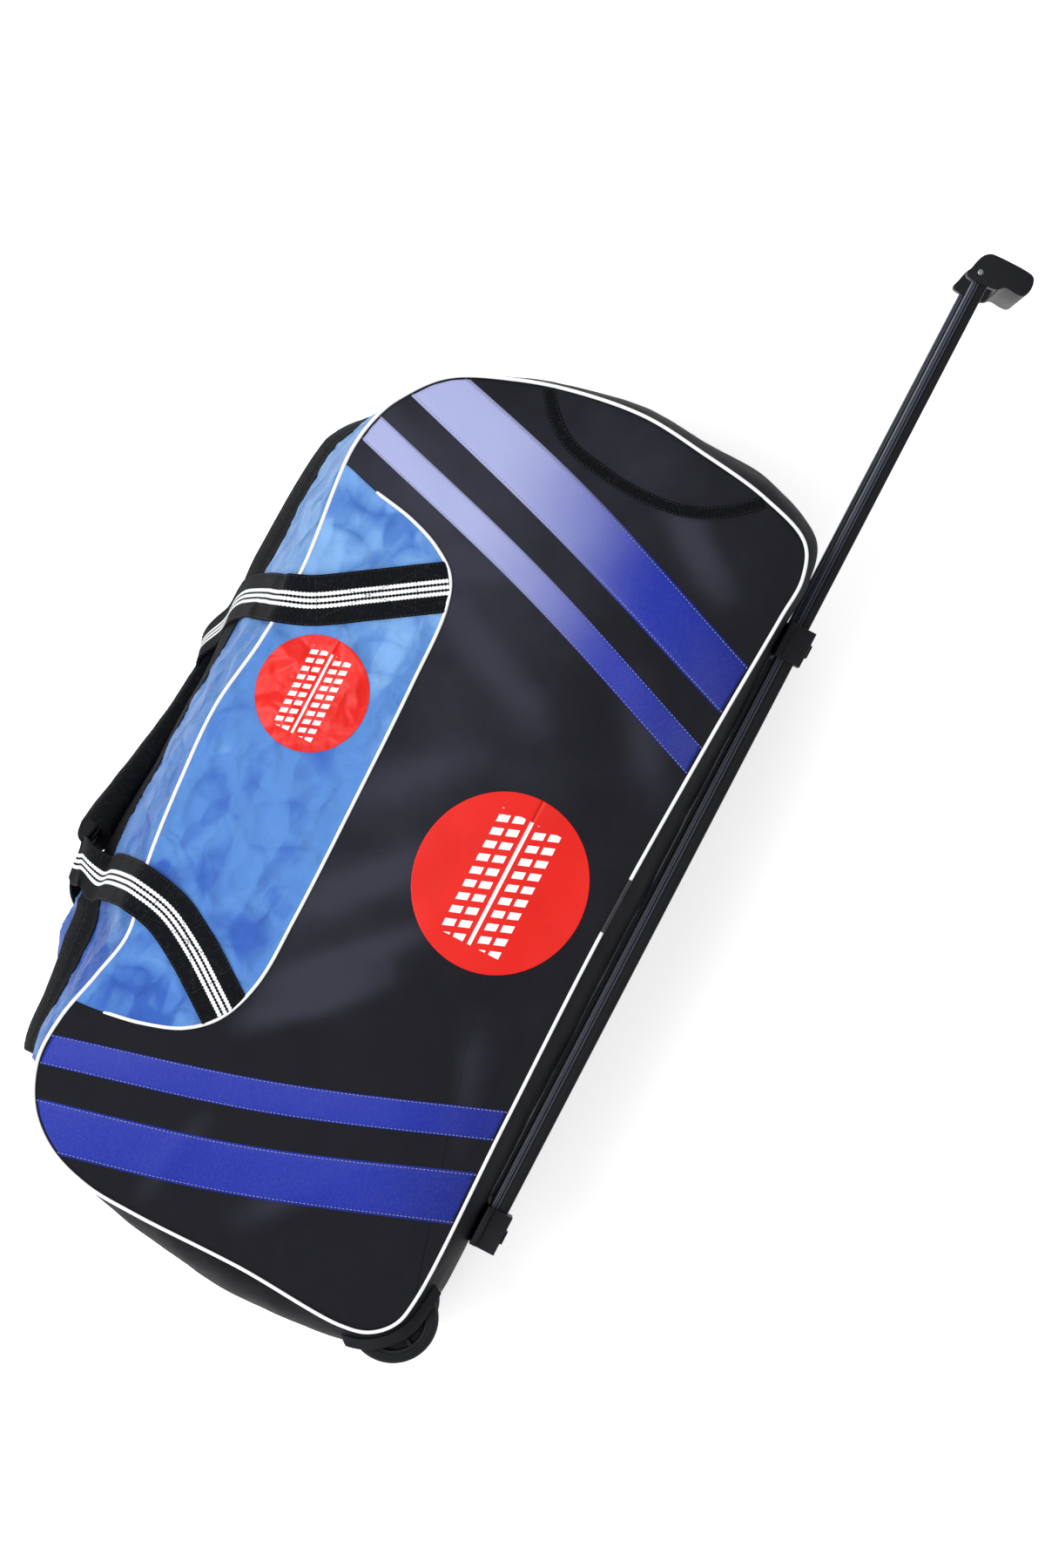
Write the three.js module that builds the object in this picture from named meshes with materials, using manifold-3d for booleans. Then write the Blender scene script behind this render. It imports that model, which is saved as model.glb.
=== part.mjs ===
// A wheeled cricket kit bag, lying on its back panel with the front panel up.
// Millimetres. X runs along the bag, towards the trolley grip. Y runs from the base with the trolley
// tubes to the side with the zip. Z is up, out of the front panel. The origin is on the surface that
// the bag lies on, under the middle of the back panel.

import * as THREE from 'three';
import { mergeVertices } from 'three/addons/utils/BufferGeometryUtils.js';
import Module from 'manifold-3d';

const wasm = await Module();
wasm.setup();

// Driving dimensions of the bag body
const BODY_LENGTH = 872; // front seam, wheel end to handle end
const BODY_HEIGHT = 420; // front seam, base to zip side
const BODY_DEPTH = 312; // back seam to front seam
const BACK_TUCK = 14; // height of the back seam over the flat back panel
const FRONT_CROWN = 13; // rise of the front panel over its seam
const SIDE_SWELL = 32; // fullest bulge of the base and the ends past the seams
const RIDGE_RISE = 64; // highest rise of the zip ridge past the seams
const PANEL_DENT = 5; // deepest fold in the front panel
const CLOTH = 2; // wall of the cloth, with its lining
const GAP = 0.3; // clearance between pieces that touch
const SWELL_POWER = 5; // how squarely the gusset turns at its seams
const CROWN_POWER = 2.2; // how squarely the front panel turns at its seam
const STATIONS_PER_ROW = 2; // stations of the outline from one row of its table to the next

// Driving dimensions of the trim
const PIPING_RADIUS = 2.2;
const PIPING_SIDES = 4;
const WEBBING_WIDTH = 47;
const WEBBING = 2.2; // thickness of the handle webbing
const WRAP_WIDTH = 60;
const WRAP_THICKNESS = 22;
const STRIPE = 0.8; // thickness of a sewn stripe
const STRIPE_INSET = 7; // from the seam to the end of a stripe
const PATCH = 1.2; // thickness of the end patch
const TAPE_WIDTH = 11; // binding tape round the end patch
const TAPE = 2; // thickness of the binding tape
const CHAIN_RISE = 1.6; // zip teeth over the tapes
const SLIDER_LENGTH = 16;
const SLIDER_WIDTH = 12;
const SLIDER_HEIGHT = 4;
const SLIDER_X = -0.35; // under the webbing of the front handle, as a share of half the length

// Driving dimensions of the trolley
const ROD_SPACING = 180; // between the two rods
const ROD = 14.4; // square rod
const ROD_LENGTH = 470;
const TUBE = 19; // square outer tube
const TUBE_WALL = 1.4;
const TUBE_STANDOFF = 1; // between the tubes and the fullest part of the base
const GRIP_DRAWN_OUT = 258; // face of the grip that the rods enter, past the end of the body
const GRIP_HEIGHT = 57; // hooked shape, across the rods
const GRIP_REACH = 29.5; // along the rods
const ARM_WIDTH = 22; // arm of the grip, across the bag
const SOCKET_DEPTH = 16; // rod into the arm
const SCREW_RADIUS = 2.9;
const SCREW_HEAD = 1.2;
const SCREW_IN = 8.7; // screw from the face that the rods enter
const SCREW_OFF = 4.8; // screw from the middle of the rod
const BRACKET_SPAN = 236; // cross-members, across the bag
const BRACKET_WALL = 5.5; // under a tube
const BRACKET_PLATE = 6;
const BRACKET_BLOCK = 44; // block round a tube, across the bag
const BUMP = 2.2; // skid on the outer face of a cross-member
const SKID_WIDTH = 29.4; // skid, across the bag
const LOWER_BRACKET = { start: -314, end: -275, bumpStart: -302, bumpEnd: -289 };
const UPPER_BRACKET = { start: 299.5, end: 334.5, bumpStart: 310, bumpEnd: 323 };

// Driving dimensions of the wheels
const WHEEL_RADIUS = 42.3;
const WHEEL_WIDTH = 28;
const AXLE_IN_END = 29; // axle from the fullest of the end seam, along the bag
const AXLE_IN_BASE = 13.5; // axle from the base seam, across the bag
const WHEEL_SPACING = 230; // between the middles of the two wheels
const WHEEL_CLEARANCE = 3; // tyre to housing
const CHEEK_CLEARANCE = 1;
const HOUSING_WALL = 5;
const HOUSING_LIP = 2.5; // housing proud of the cloth
const TYRE_THICKNESS = 9;
const TYRE_SHOULDER = 3; // rounding of its edge, towards the axle
const TYRE_TREAD = 14; // flat part of its width
const AXLE_RADIUS = 4;
const HUB_WEB = 10;
const WHEEL_SIDES = 16;
const PIN_SIDES = 8;

const HALF_LENGTH = BODY_LENGTH / 2;
const HALF_HEIGHT = BODY_HEIGHT / 2;
const GRIP_FACE_X = HALF_LENGTH + GRIP_DRAWN_OUT;
const HALF_DEPTH = BODY_DEPTH / 2;
const WHEEL_X = AXLE_IN_END - HALF_LENGTH;
const WHEEL_Y = AXLE_IN_BASE - HALF_HEIGHT;
const MID_Z = BACK_TUCK + HALF_DEPTH;
const FRONT_Z = BACK_TUCK + BODY_DEPTH;
const SEAM_INSET = PIPING_RADIUS + GAP;
const SLOT_RADIUS = PIPING_RADIUS + GAP / Math.cos(Math.PI / PIPING_SIDES); // clears a cord by the gap

// The front seam, from the wheel end of the base round to the handle end and back over the zip side.
// x and y are shares of half the length and height, swell and ridge of the fullest bulge and rise.
const OUTLINE = rows(['name', 'x', 'y', 'swell', 'ridge'], [
  ['base wheel end', -0.872, -0.981, 0.6, 0],
  ['', -0.459, -0.971, 0.69, 0],
  ['', 0, -0.962, 0.75, 0],
  ['', 0.459, -0.99, 0.56, 0],
  ['', 0.757, -1.02, 0.34, 0],
  ['base handle end', 0.853, -1.026, 0.33, 0],
  ['', 0.922, -0.962, 0.5, 0],
  ['', 0.967, -0.714, 0.62, 0],
  ['', 0.99, -0.386, 0.47, 0],
  ['', 1.002, -0.095, 0.4, 0],
  ['', 0.982, 0.219, 0.27, 0],
  ['', 0.947, 0.476, 0.25, 0],
  ['handle shoulder', 0.883, 0.757, 0.22, 0],
  ['', 0.8, 0.898, 0.2, 0],
  ['zip handle end', 0.748, 0.948, 0.18, 0.1],
  ['', 0.658, 0.981, 0.08, 0.46],
  ['', 0.381, 0.931, 0, 0.81],
  ['', 0.211, 0.948, 0, 0.67],
  ['', 0.046, 0.992, 0, 0.47],
  ['', -0.119, 0.979, 0, 0.53],
  ['', -0.317, 0.938, 0, 0.76],
  ['', -0.466, 0.871, 0, 1],
  ['', -0.573, 0.91, 0, 0.81],
  ['', -0.69, 0.965, 0.05, 0.45],
  ['zip wheel end', -0.791, 0.967, 0.15, 0.1],
  ['wheel shoulder', -0.885, 0.879, 0.2, 0],
  ['', -0.945, 0.729, 0.22, 0],
  ['', -0.977, 0.524, 0.28, 0],
  ['', -0.984, 0.286, 0.62, 0],
  ['', -0.982, -0.238, 0.97, 0],
  ['', -0.992, -0.738, 0.62, 0],
  ['', -0.977, -0.867, 0.52, 0],
  ['', -0.936, -0.952, 0.5, 0],
]);

// Rise of the zip side across the bag: depth runs from 1 at the front seam to -1 at the back seam.
const FRONT_TAPE_EDGE = 0.24; // edges and middle of the zip
const CHAIN_DEPTH = 0.12;
const BACK_TAPE_EDGE = 0;
const RIDGE_PROFILE = rows(['depth', 'rise'], [
  [1, 0], [0.75, 0.2], [FRONT_TAPE_EDGE, 0.46], [CHAIN_DEPTH, 0.74], [BACK_TAPE_EDGE, 0.94], [-0.12, 1],
  [-0.6, 0.42], [-1, 0],
]);
const CHAIN_HALF = 0.018; // half the width of the teeth, as a share of half the depth
const SIDE_DEPTHS = [0.87, 0.5, -0.5, -0.87];
const FRONT_RINGS = [1, 0.9, 0.58];
const BACK_RINGS = [1, 0.95];
const BACK_HEIGHTS = [1, 0]; // shares of the tuck at those rings
const BACK_CENTRE = 0.1; // where its facets meet, so that the origin lies inside a facet

// Folds and hollows in the front panel, centre and radii as shares of half the length and height.
const DENTS = rows(['x', 'y', 'alongX', 'alongY', 'depth'], [
  [-0.5, 0.05, 0.1, 0.3, 0.7],
  [-0.86, -0.45, 0.1, 0.45, 0.8],
  [0.55, 0.1, 0.08, 0.3, 0.5],
  [0.86, -0.12, 0.07, 0.25, 0.7],
  [0.1, -0.75, 0.6, 0.16, 0.6],
  [-0.2, 0.75, 0.16, 0.16, 0.9],
  [-0.62, 0.78, 0.08, 0.2, 0.8],
  [0.5, 0.72, 0.1, 0.2, 0.8],
]);

// Lower edge of the yoke on the front panel, from the handle end to the wheel end, as shares.
const YOKE_EDGE = rows(['x', 'y'], [
  [0.624, 1.05], [0.622, 0.97], [0.6, 0.8], [0.583, 0.61], [0.556, 0.46], [0.516, 0.348], [0.45, 0.295],
  [0.27, 0.274], [0, 0.262], [-0.27, 0.257], [-0.436, 0.271], [-0.532, 0.343], [-0.587, 0.462],
  [-0.62, 0.64], [-0.637, 0.81], [-0.643, 0.95], [-0.643, 1.03],
]);
const CORD_FIRST_ROW = 2; // rows of the table between which the white cord runs
const CORD_LAST_ROW = 14;

// Sewn stripes: x of the two edges, as shares of half the length, at the zip side, the middle and the base.
const STRIPES = rows(
  ['name', 'leftTop', 'leftMiddle', 'leftBase', 'rightTop', 'rightMiddle', 'rightBase'],
  [
    ['stripe_handle_narrow', 0.686, 0.549, 0.374, 0.752, 0.615, 0.442],
    ['stripe_handle_wide', 0.83, 0.689, 0.522, 0.94, 0.814, 0.641],
    ['stripe_wheel_narrow', -0.798, -0.671, -0.498, -0.729, -0.599, -0.427],
    ['stripe_wheel_wide', -0.98, -0.862, -0.696, -0.872, -0.748, -0.573],
  ],
);

const SLEEVE_FROM = -0.006; // black sleeve over the joined ends of the front cord, on the base side
const SLEEVE_TO = 0.128;

// Inner edge of the patch at the handle end, from the zip side to the base, as shares.
const PATCH_EDGE = rows(['x', 'y'], [
  [0.985, 0.38], [0.915, 0.26], [0.878, 0.15], [0.858, -0.04], [0.852, -0.22], [0.864, -0.43],
  [0.905, -0.6], [0.985, -0.78],
]);

// Carry handles. On the front panel x and y are shares. Over the side depth is as in the ridge table and
// slack is a share of the webbing's slack above the cloth. In the open rise is a share of the ridge's
// rise past the seam, and aside a share of half the depth past the middle.
const WEBBING_SLACK = 8; // how far the webbing stands off the cloth where it is slack
const FRONT_HANDLE_STEPS = 46; // sections of the webbing
const BACK_HANDLE_STEPS = 26;
const HANDLE_COLUMNS = ['x', 'depth', 'slack'];
const OPEN_COLUMNS = ['x', 'rise', 'aside'];
const WRAP_LINE = rows(OPEN_COLUMNS, [
  [0.13, 0.5, -0.42], [0.06, 0.5, -0.4], [-0.06, 0.56, -0.34], [-0.2, 0.68, -0.25], [-0.28, 0.76, -0.17],
  [-0.32, 0.8, -0.1],
]);
const FRONT_HANDLE = {
  right: rows(['x', 'y'], [[0.508, 0.28], [0.484, 0.357], [0.4, 0.62], [0.335, 0.83]]),
  overRight: rows(HANDLE_COLUMNS, [[0.311, 0.985, 0.1], [0.303, 0.86, 0.1], [0.285, 0.45, 0.3], [0.268, 0.2, 0.5]]),
  openRight: rows(OPEN_COLUMNS, [[0.25, 0.76, 0], [0.225, 0.77, -0.16], [0.18, 0.64, -0.33]]),
  openLeft: rows(OPEN_COLUMNS, [[-0.36, 0.84, 0.04], [-0.37, 0.8, 0.19]]),
  overLeft: rows(HANDLE_COLUMNS, [[-0.37, 0.32, 0.9], [-0.366, 0.5, 0.5], [-0.366, 0.8, 0.4], [-0.372, 0.985, 0.3]]),
  left: rows(['x', 'y'], [[-0.388, 0.77], [-0.43, 0.6], [-0.5, 0.39], [-0.54, 0.28]]),
};
const BACK_HANDLE = {
  overRight: rows(HANDLE_COLUMNS, [[0.25, -0.96, 0.1], [0.248, -0.7, 0.1], [0.235, -0.52, 0.3]]),
  openRight: rows(OPEN_COLUMNS, [[0.2, 0.5, -0.44]]),
  openLeft: rows(OPEN_COLUMNS, [[-0.38, 0.8, -0.08]]),
  overLeft: rows(HANDLE_COLUMNS, [[-0.42, -0.34, 0.6], [-0.44, -0.6, 0.2], [-0.45, -0.96, 0.1]]),
};
const WRAP_FROM = -0.3; // ends of the padded wrap, as shares of half the length
const WRAP_TO = 0.085;

const COLOURS = {
  black: { color: 0x22232b, roughness: 0.75, metalness: 0 },
  blue: { color: 0x4f86dc, roughness: 0.5, metalness: 0 },
  stripe: { color: 0x2c3fb4, roughness: 0.5, metalness: 0 },
  white: { color: 0xe8e8ea, roughness: 0.5, metalness: 0 },
  webbing: { color: 0x17181d, roughness: 0.85, metalness: 0 },
  plastic: { color: 0x1b1c21, roughness: 0.5, metalness: 0 },
  rod: { color: 0x15161a, roughness: 0.35, metalness: 0.8 },
  steel: { color: 0xb9bcc2, roughness: 0.3, metalness: 1 },
  rubber: { color: 0x121317, roughness: 0.8, metalness: 0 },
};

const TINY = 1e-4; // points nearer than this are one
const bag = new THREE.Group();

function rows(columns, values) {
  return values.map((row) => Object.fromEntries(columns.map((column, i) => [column, row[i]])));
}

function add(name, geometry, colour) {
  const mesh = new THREE.Mesh(geometry, new THREE.MeshStandardMaterial(COLOURS[colour]));
  mesh.name = name;
  bag.add(mesh);
  return mesh;
}

function point(x, y, z) {
  return new THREE.Vector3(x, y, z);
}

// Meshes: one closed body from a list of points and triangles, with its faces turned outwards
function closed(points, triangles) {
  const geometry = new THREE.BufferGeometry();
  geometry.setAttribute('position', new THREE.Float32BufferAttribute(points.flatMap((p) => [p.x, p.y, p.z]), 3));
  geometry.setIndex(triangles.flat());
  if (volume(points, triangles) < 0) {
    geometry.setIndex(triangles.flatMap(([a, b, c]) => [a, c, b]));
  }
  geometry.computeVertexNormals();
  return geometry;
}

function volume(points, triangles) {
  return triangles.reduce((sum, [a, b, c]) => sum + points[a].dot(point(0, 0, 0).crossVectors(points[b], points[c])), 0);
}

// A sweep: each section is a loop of as many points; caps is a list of triangles over one section
function sweep(sections, caps, ring = false) {
  const count = sections[0].length;
  const points = sections.flat();
  const triangles = [];
  const spans = ring ? sections.length : sections.length - 1;
  for (let i = 0; i < spans; i += 1) {
    const here = i * count;
    const next = ((i + 1) % sections.length) * count;
    for (let j = 0; j < count; j += 1) {
      const k = (j + 1) % count;
      triangles.push([here + j, next + j, next + k], [here + j, next + k, here + k]);
    }
  }
  if (!ring) {
    const last = (sections.length - 1) * count;
    caps.forEach(([a, b, c]) => {
      triangles.push([a, b, c], [last + a, last + c, last + b]);
    });
  }
  return closed(points, triangles);
}

// A slab: outer and inner hold as many points at each station and close into one wall
function slab(stations, ring = false) {
  const sections = stations.map(({ outer, inner }) => [...outer, ...[...inner].reverse()]);
  const half = stations[0].outer.length;
  const caps = [];
  for (let j = 0; j + 1 < half; j += 1) {
    const under = 2 * half - 1 - j;
    caps.push([j, j + 1, under], [j + 1, under - 1, under]);
  }
  return sweep(sections, caps, ring);
}

// A cord of round section along points; across is one direction at right angles to it at each point
function cord(centres, across, radius, sides, ring = false) {
  const sections = centres.map((centre, i) => {
    const before = centres[ring ? (i + centres.length - 1) % centres.length : Math.max(i - 1, 0)];
    const after = centres[ring ? (i + 1) % centres.length : Math.min(i + 1, centres.length - 1)];
    const along = after.clone().sub(before).normalize();
    const up = along.clone().cross(across[i]).normalize();
    return Array.from({ length: sides }, (_, k) => {
      const turn = (k * 2 * Math.PI) / sides;
      return centre.clone()
        .addScaledVector(across[i], radius * Math.cos(turn))
        .addScaledVector(up, radius * Math.sin(turn));
    });
  });
  const caps = Array.from({ length: sides - 2 }, (_, k) => [0, k + 1, k + 2]);
  return sweep(sections, caps, ring);
}

function extruded(outline, low, high) {
  const shape = new THREE.Shape(outline.map(([x, y]) => new THREE.Vector2(x, y)));
  return new THREE.ExtrudeGeometry(shape, { depth: high - low, bevelEnabled: false, steps: 1 }).translate(0, 0, low);
}

function box(low, high) {
  return new THREE.BoxGeometry(high[0] - low[0], high[1] - low[1], high[2] - low[2])
    .translate((low[0] + high[0]) / 2, (low[1] + high[1]) / 2, (low[2] + high[2]) / 2);
}

function drum(radius, low, high, sides, x = WHEEL_X, y = WHEEL_Y) {
  return new THREE.CylinderGeometry(radius, radius, high - low, sides)
    .rotateX(Math.PI / 2)
    .translate(x, y, (low + high) / 2);
}

// Joins and cuts
function solid(geometry) {
  const bare = geometry.clone();
  bare.deleteAttribute('normal');
  bare.deleteAttribute('uv');
  const merged = mergeVertices(bare, TINY);
  return new wasm.Manifold(new wasm.Mesh({
    numProp: 3,
    vertProperties: new Float32Array(merged.attributes.position.array),
    triVerts: new Uint32Array(merged.index.array),
  }));
}

// The largest body of what joins and cuts leave, without offcuts
function geometryOf(manifold) {
  const bodies = manifold.decompose().sort((a, b) => b.volume() - a.volume());
  const mesh = bodies[0].getMesh();
  const geometry = new THREE.BufferGeometry();
  geometry.setAttribute('position', new THREE.BufferAttribute(new Float32Array(mesh.vertProperties), 3));
  geometry.setIndex(new THREE.BufferAttribute(new Uint32Array(mesh.triVerts), 1));
  geometry.computeVertexNormals();
  return geometry;
}

function smooth(points, steps, isClosed = false) {
  return new THREE.CatmullRomCurve3(points, isClosed, 'centripetal').getSpacedPoints(steps);
}

// The outline: stations on a smooth curve through the rows, joined by chords that every piece shares
function outlineStations() {
  const places = OUTLINE.map(({ x, y }) => point(x * HALF_LENGTH, y * HALF_HEIGHT, 0));
  const bulges = OUTLINE.map(({ swell, ridge }) => point(swell, ridge, 0));
  const path = new THREE.CatmullRomCurve3(places, true, 'centripetal');
  const bulge = new THREE.CatmullRomCurve3(bulges, true, 'centripetal');
  return Array.from({ length: AROUND }, (_, k) => {
    const place = path.getPoint(k / AROUND);
    const along = path.getTangent(k / AROUND);
    const full = bulge.getPoint(k / AROUND);
    return {
      x: place.x, y: place.y, outX: along.y, outY: -along.x,
      swell: Math.max(full.x, 0) * SIDE_SWELL, ridge: Math.max(full.y, 0) * RIDGE_RISE,
    };
  });
}

const AROUND = OUTLINE.length * STATIONS_PER_ROW;
const LEAST_SPAN = 0.02; // shortest span that a wall starts or ends with, as a share of a station
const STATIONS = outlineStations();

function mark(name) {
  return OUTLINE.findIndex((row) => row.name === name) / OUTLINE.length;
}

function outlineAt(u) {
  const place = (((u % 1) + 1) % 1) * AROUND;
  const first = STATIONS[Math.floor(place) % AROUND];
  const second = STATIONS[(Math.floor(place) + 1) % AROUND];
  const share = place - Math.floor(place);
  return Object.fromEntries(Object.keys(first).map((key) => [key, first[key] + (second[key] - first[key]) * share]));
}

// A place a little further round the outline, in millimetres
function further(u, distance) {
  const step = 1 / AROUND;
  const here = outlineAt(u);
  const next = outlineAt(u + step / 2);
  return u + (step / 2) * (distance / Math.hypot(next.x - here.x, next.y - here.y));
}

// Places along the outline from one place to another, with every station between them
function placesBetween(from, to) {
  const end = to < from ? to + 1 : to;
  const places = [from];
  const least = LEAST_SPAN / AROUND;
  for (let k = Math.floor(from * AROUND) + 1; k / AROUND < end - least; k += 1) {
    if (k / AROUND > from + least) {
      places.push(k / AROUND);
    }
  }
  return [...places, end];
}

function ridgeShare(depth) {
  const next = Math.max(1, RIDGE_PROFILE.findIndex((row) => row.depth <= depth));
  const [a, b] = [RIDGE_PROFILE[next - 1], RIDGE_PROFILE[next]];
  return a.rise + ((b.rise - a.rise) * (depth - a.depth)) / (b.depth - a.depth);
}

// A point of the gusset: depth 1 is the front seam, -1 the back seam; lift is outward from the cloth
function gussetPoint(u, depth, lift = 0) {
  const at = outlineAt(u);
  const out = at.swell * (1 - Math.abs(depth) ** SWELL_POWER) + at.ridge * ridgeShare(depth) + lift;
  return point(at.x + at.outX * out, at.y + at.outY * out, MID_Z + depth * HALF_DEPTH);
}

function gussetWall(places, depthsAt, thickness = CLOTH, lift = 0) {
  return slab(places.map((u) => ({
    outer: depthsAt(u).map((depth) => gussetPoint(u, depth, lift)),
    inner: depthsAt(u).map((depth) => gussetPoint(u, depth, lift - thickness)),
  })));
}

const SEAM_DEPTH = 1 - SEAM_INSET / HALF_DEPTH;
const HALF_GAP_DEPTH = GAP / 2 / HALF_DEPTH;

// The panels: rings of the outline drawn in towards the middle
function ringPoint(k, ring, z) {
  const at = STATIONS[k % AROUND];
  return point((at.x - at.outX * SEAM_INSET) * ring, (at.y - at.outY * SEAM_INSET) * ring, z);
}

function dentAt(x, y) {
  return DENTS.reduce((sum, dent) => {
    const dx = (x / HALF_LENGTH - dent.x) / dent.alongX;
    const dy = (y / HALF_HEIGHT - dent.y) / dent.alongY;
    return sum + dent.depth * PANEL_DENT * Math.exp(-dx * dx - dy * dy);
  }, 0);
}

const DENT_MARGIN = 1 / 12; // dents fade out over this share of the panel inside its seam

function frontHeight(k, ring) {
  const flat = ringPoint(k, ring, 0);
  const crown = FRONT_CROWN * (1 - ring ** CROWN_POWER);
  return FRONT_Z + crown - dentAt(flat.x, flat.y) * Math.min(1, (1 - ring) / DENT_MARGIN);
}

// Height of the faceted front panel over any point, exact on its triangles
function panelHeight(x, y) {
  for (let k = 0; k < AROUND; k += 1) {
    const a = ringPoint(k, 1, 0);
    const b = ringPoint(k + 1, 1, 0);
    const whole = a.x * b.y - a.y * b.x;
    const shareA = (x * b.y - y * b.x) / whole;
    const shareB = (a.x * y - a.y * x) / whole;
    if (shareA >= 0 && shareB >= 0) {
      return cellHeight(k, shareA, shareB);
    }
  }
  return FRONT_Z;
}

function cellHeight(k, shareA, shareB) {
  const rings = [...FRONT_RINGS, 0];
  const ring = Math.min(shareA + shareB, 1);
  const j = Math.max(0, rings.findIndex((r) => r <= ring) - 1);
  const [outer, inner] = [rings[j], rings[j + 1]];
  const corners = {
    outerA: [outer, 0, frontHeight(k, outer)], outerB: [0, outer, frontHeight(k + 1, outer)],
    innerA: [inner, 0, frontHeight(k, inner)], innerB: [0, inner, frontHeight(k + 1, inner)],
  };
  if (inner === 0) {
    return onTriangle([corners.outerA, corners.outerB, [0, 0, frontHeight(k, 0)]], shareA, shareB);
  }
  const diagonal = (shareA * inner) / (outer * (inner - shareB) || 1e-9);
  const first = [corners.outerA, corners.outerB, corners.innerB];
  const second = [corners.outerA, corners.innerB, corners.innerA];
  const nearOuter = shareB < inner ? diagonal >= 1 : true;
  return onTriangle(nearOuter ? first : second, shareA, shareB);
}

function onTriangle([p, q, r], a, b) {
  const whole = (q[1] - r[1]) * (p[0] - r[0]) + (r[0] - q[0]) * (p[1] - r[1]);
  const first = ((q[1] - r[1]) * (a - r[0]) + (r[0] - q[0]) * (b - r[1])) / whole;
  const second = ((r[1] - p[1]) * (a - r[0]) + (p[0] - r[0]) * (b - r[1])) / whole;
  return first * p[2] + second * q[2] + (1 - first - second) * r[2];
}

// A sheet between two heights over the same rings, such as a panel or a layer lying on it
function panel(rings, top, bottom, centreTop, centreBottom, aside = 0) {
  const points = [];
  const triangles = [];
  [top, bottom].forEach((height) => {
    rings.forEach((ring, j) => {
      for (let k = 0; k < AROUND; k += 1) {
        points.push(ringPoint(k, ring, height(k, ring, j)));
      }
    });
  });
  const layer = rings.length * AROUND;
  const centres = [points.length, points.length + 1];
  const centre = [aside * HALF_LENGTH, aside * HALF_HEIGHT];
  points.push(point(...centre, centreTop), point(...centre, centreBottom));
  const quad = (a, b, c, d) => triangles.push([a, b, c], [a, c, d]);
  // Both faces of a sheet have the same diagonals, so that a layer lies evenly on the sheet below it
  for (let k = 0; k < AROUND; k += 1) {
    const next = (k + 1) % AROUND;
    for (let j = 0; j + 1 < rings.length; j += 1) {
      const [outer, inner] = [j * AROUND, (j + 1) * AROUND];
      quad(outer + k, outer + next, inner + next, inner + k);
      quad(layer + outer + k, layer + inner + k, layer + inner + next, layer + outer + next);
    }
    const innermost = (rings.length - 1) * AROUND;
    triangles.push([innermost + k, innermost + next, centres[0]]);
    triangles.push([layer + innermost + next, layer + innermost + k, centres[1]]);
    quad(next, k, layer + k, layer + next);
  }
  return closed(points, triangles);
}

function frontLayer(bottom, top) {
  return panel(
    FRONT_RINGS,
    (k, ring) => frontHeight(k, ring) + top,
    (k, ring) => frontHeight(k, ring) + bottom,
    frontHeight(0, 0) + top,
    frontHeight(0, 0) + bottom,
  );
}

const PRISM_REACH = 3 * FRONT_CROWN; // what cuts the front layers reaches this far below and above them

function prism(outline) {
  return solid(extruded(outline, FRONT_Z - PRISM_REACH, FRONT_Z + PRISM_REACH));
}

// A curve on the front panel moved sideways, to the left of its direction
function moved(curve, distance) {
  return curve.map((p, i) => {
    const along = curve[Math.min(i + 1, curve.length - 1)].clone().sub(curve[Math.max(i - 1, 0)]).normalize();
    return point(p.x - along.y * distance, p.y + along.x * distance, 0);
  });
}

function flatCurve(table, steps) {
  return smooth(table.map(({ x, y }) => point(x * HALF_LENGTH, y * HALF_HEIGHT, 0)), steps);
}

function outlineOf(...curves) {
  return curves.flat().map((p) => [p.x, p.y]);
}

const YOKE_STEPS = 28;
const YOKE_CURVE = flatCurve(YOKE_EDGE, YOKE_STEPS);
const YOKE_CORD = flatCurve(YOKE_EDGE.slice(CORD_FIRST_ROW, CORD_LAST_ROW + 1), YOKE_STEPS);
const BEYOND_SIDE = BODY_HEIGHT; // past every edge of the front
const BEYOND_END = BODY_LENGTH;
const STRIPE_STEPS = 4;
const PATCH_STEPS = 12;

function yokeRegion(distance) {
  const edge = moved(YOKE_CURVE, distance);
  return prism(outlineOf(edge, [point(edge.at(-1).x, BEYOND_SIDE, 0), point(edge[0].x, BEYOND_SIDE, 0)]));
}

function yokeCord(radius) {
  const centres = YOKE_CORD.map((p) => point(p.x, p.y, panelHeight(p.x, p.y)));
  const across = moved(YOKE_CORD, 1).map((p, i) => p.sub(YOKE_CORD[i]));
  return cord(centres, across, radius, PIPING_SIDES);
}

function makeFront() {
  const sheet = solid(frontLayer(-CLOTH, 0));
  const slot = solid(yokeCord(SLOT_RADIUS));
  const yoke = sheet.intersect(yokeRegion(-GAP / 2)).subtract(slot);
  add('front_panel', geometryOf(sheet.subtract(yokeRegion(GAP / 2)).subtract(slot)), 'black');
  add('front_yoke', geometryOf(yoke), 'blue');
  add('yoke_piping', yokeCord(PIPING_RADIUS), 'white');
  return slot;
}

function insetOutline(distance) {
  return STATIONS.map((at) => [at.x - at.outX * distance, at.y - at.outY * distance]);
}

function makeStripes() {
  const field = prism(insetOutline(STRIPE_INSET));
  const layer = solid(frontLayer(GAP, GAP + STRIPE)).intersect(field);
  STRIPES.forEach((stripe) => {
    const edge = (side) => smooth([
      point(stripe[`${side}Top`] * HALF_LENGTH, HALF_HEIGHT, 0),
      point(stripe[`${side}Middle`] * HALF_LENGTH, 0, 0),
      point(stripe[`${side}Base`] * HALF_LENGTH, -HALF_HEIGHT, 0),
    ], STRIPE_STEPS);
    const band = prism(outlineOf(edge('left').reverse(), edge('right')).reverse());
    add(stripe.name, geometryOf(layer.intersect(band)), 'stripe');
  });
}

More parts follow.
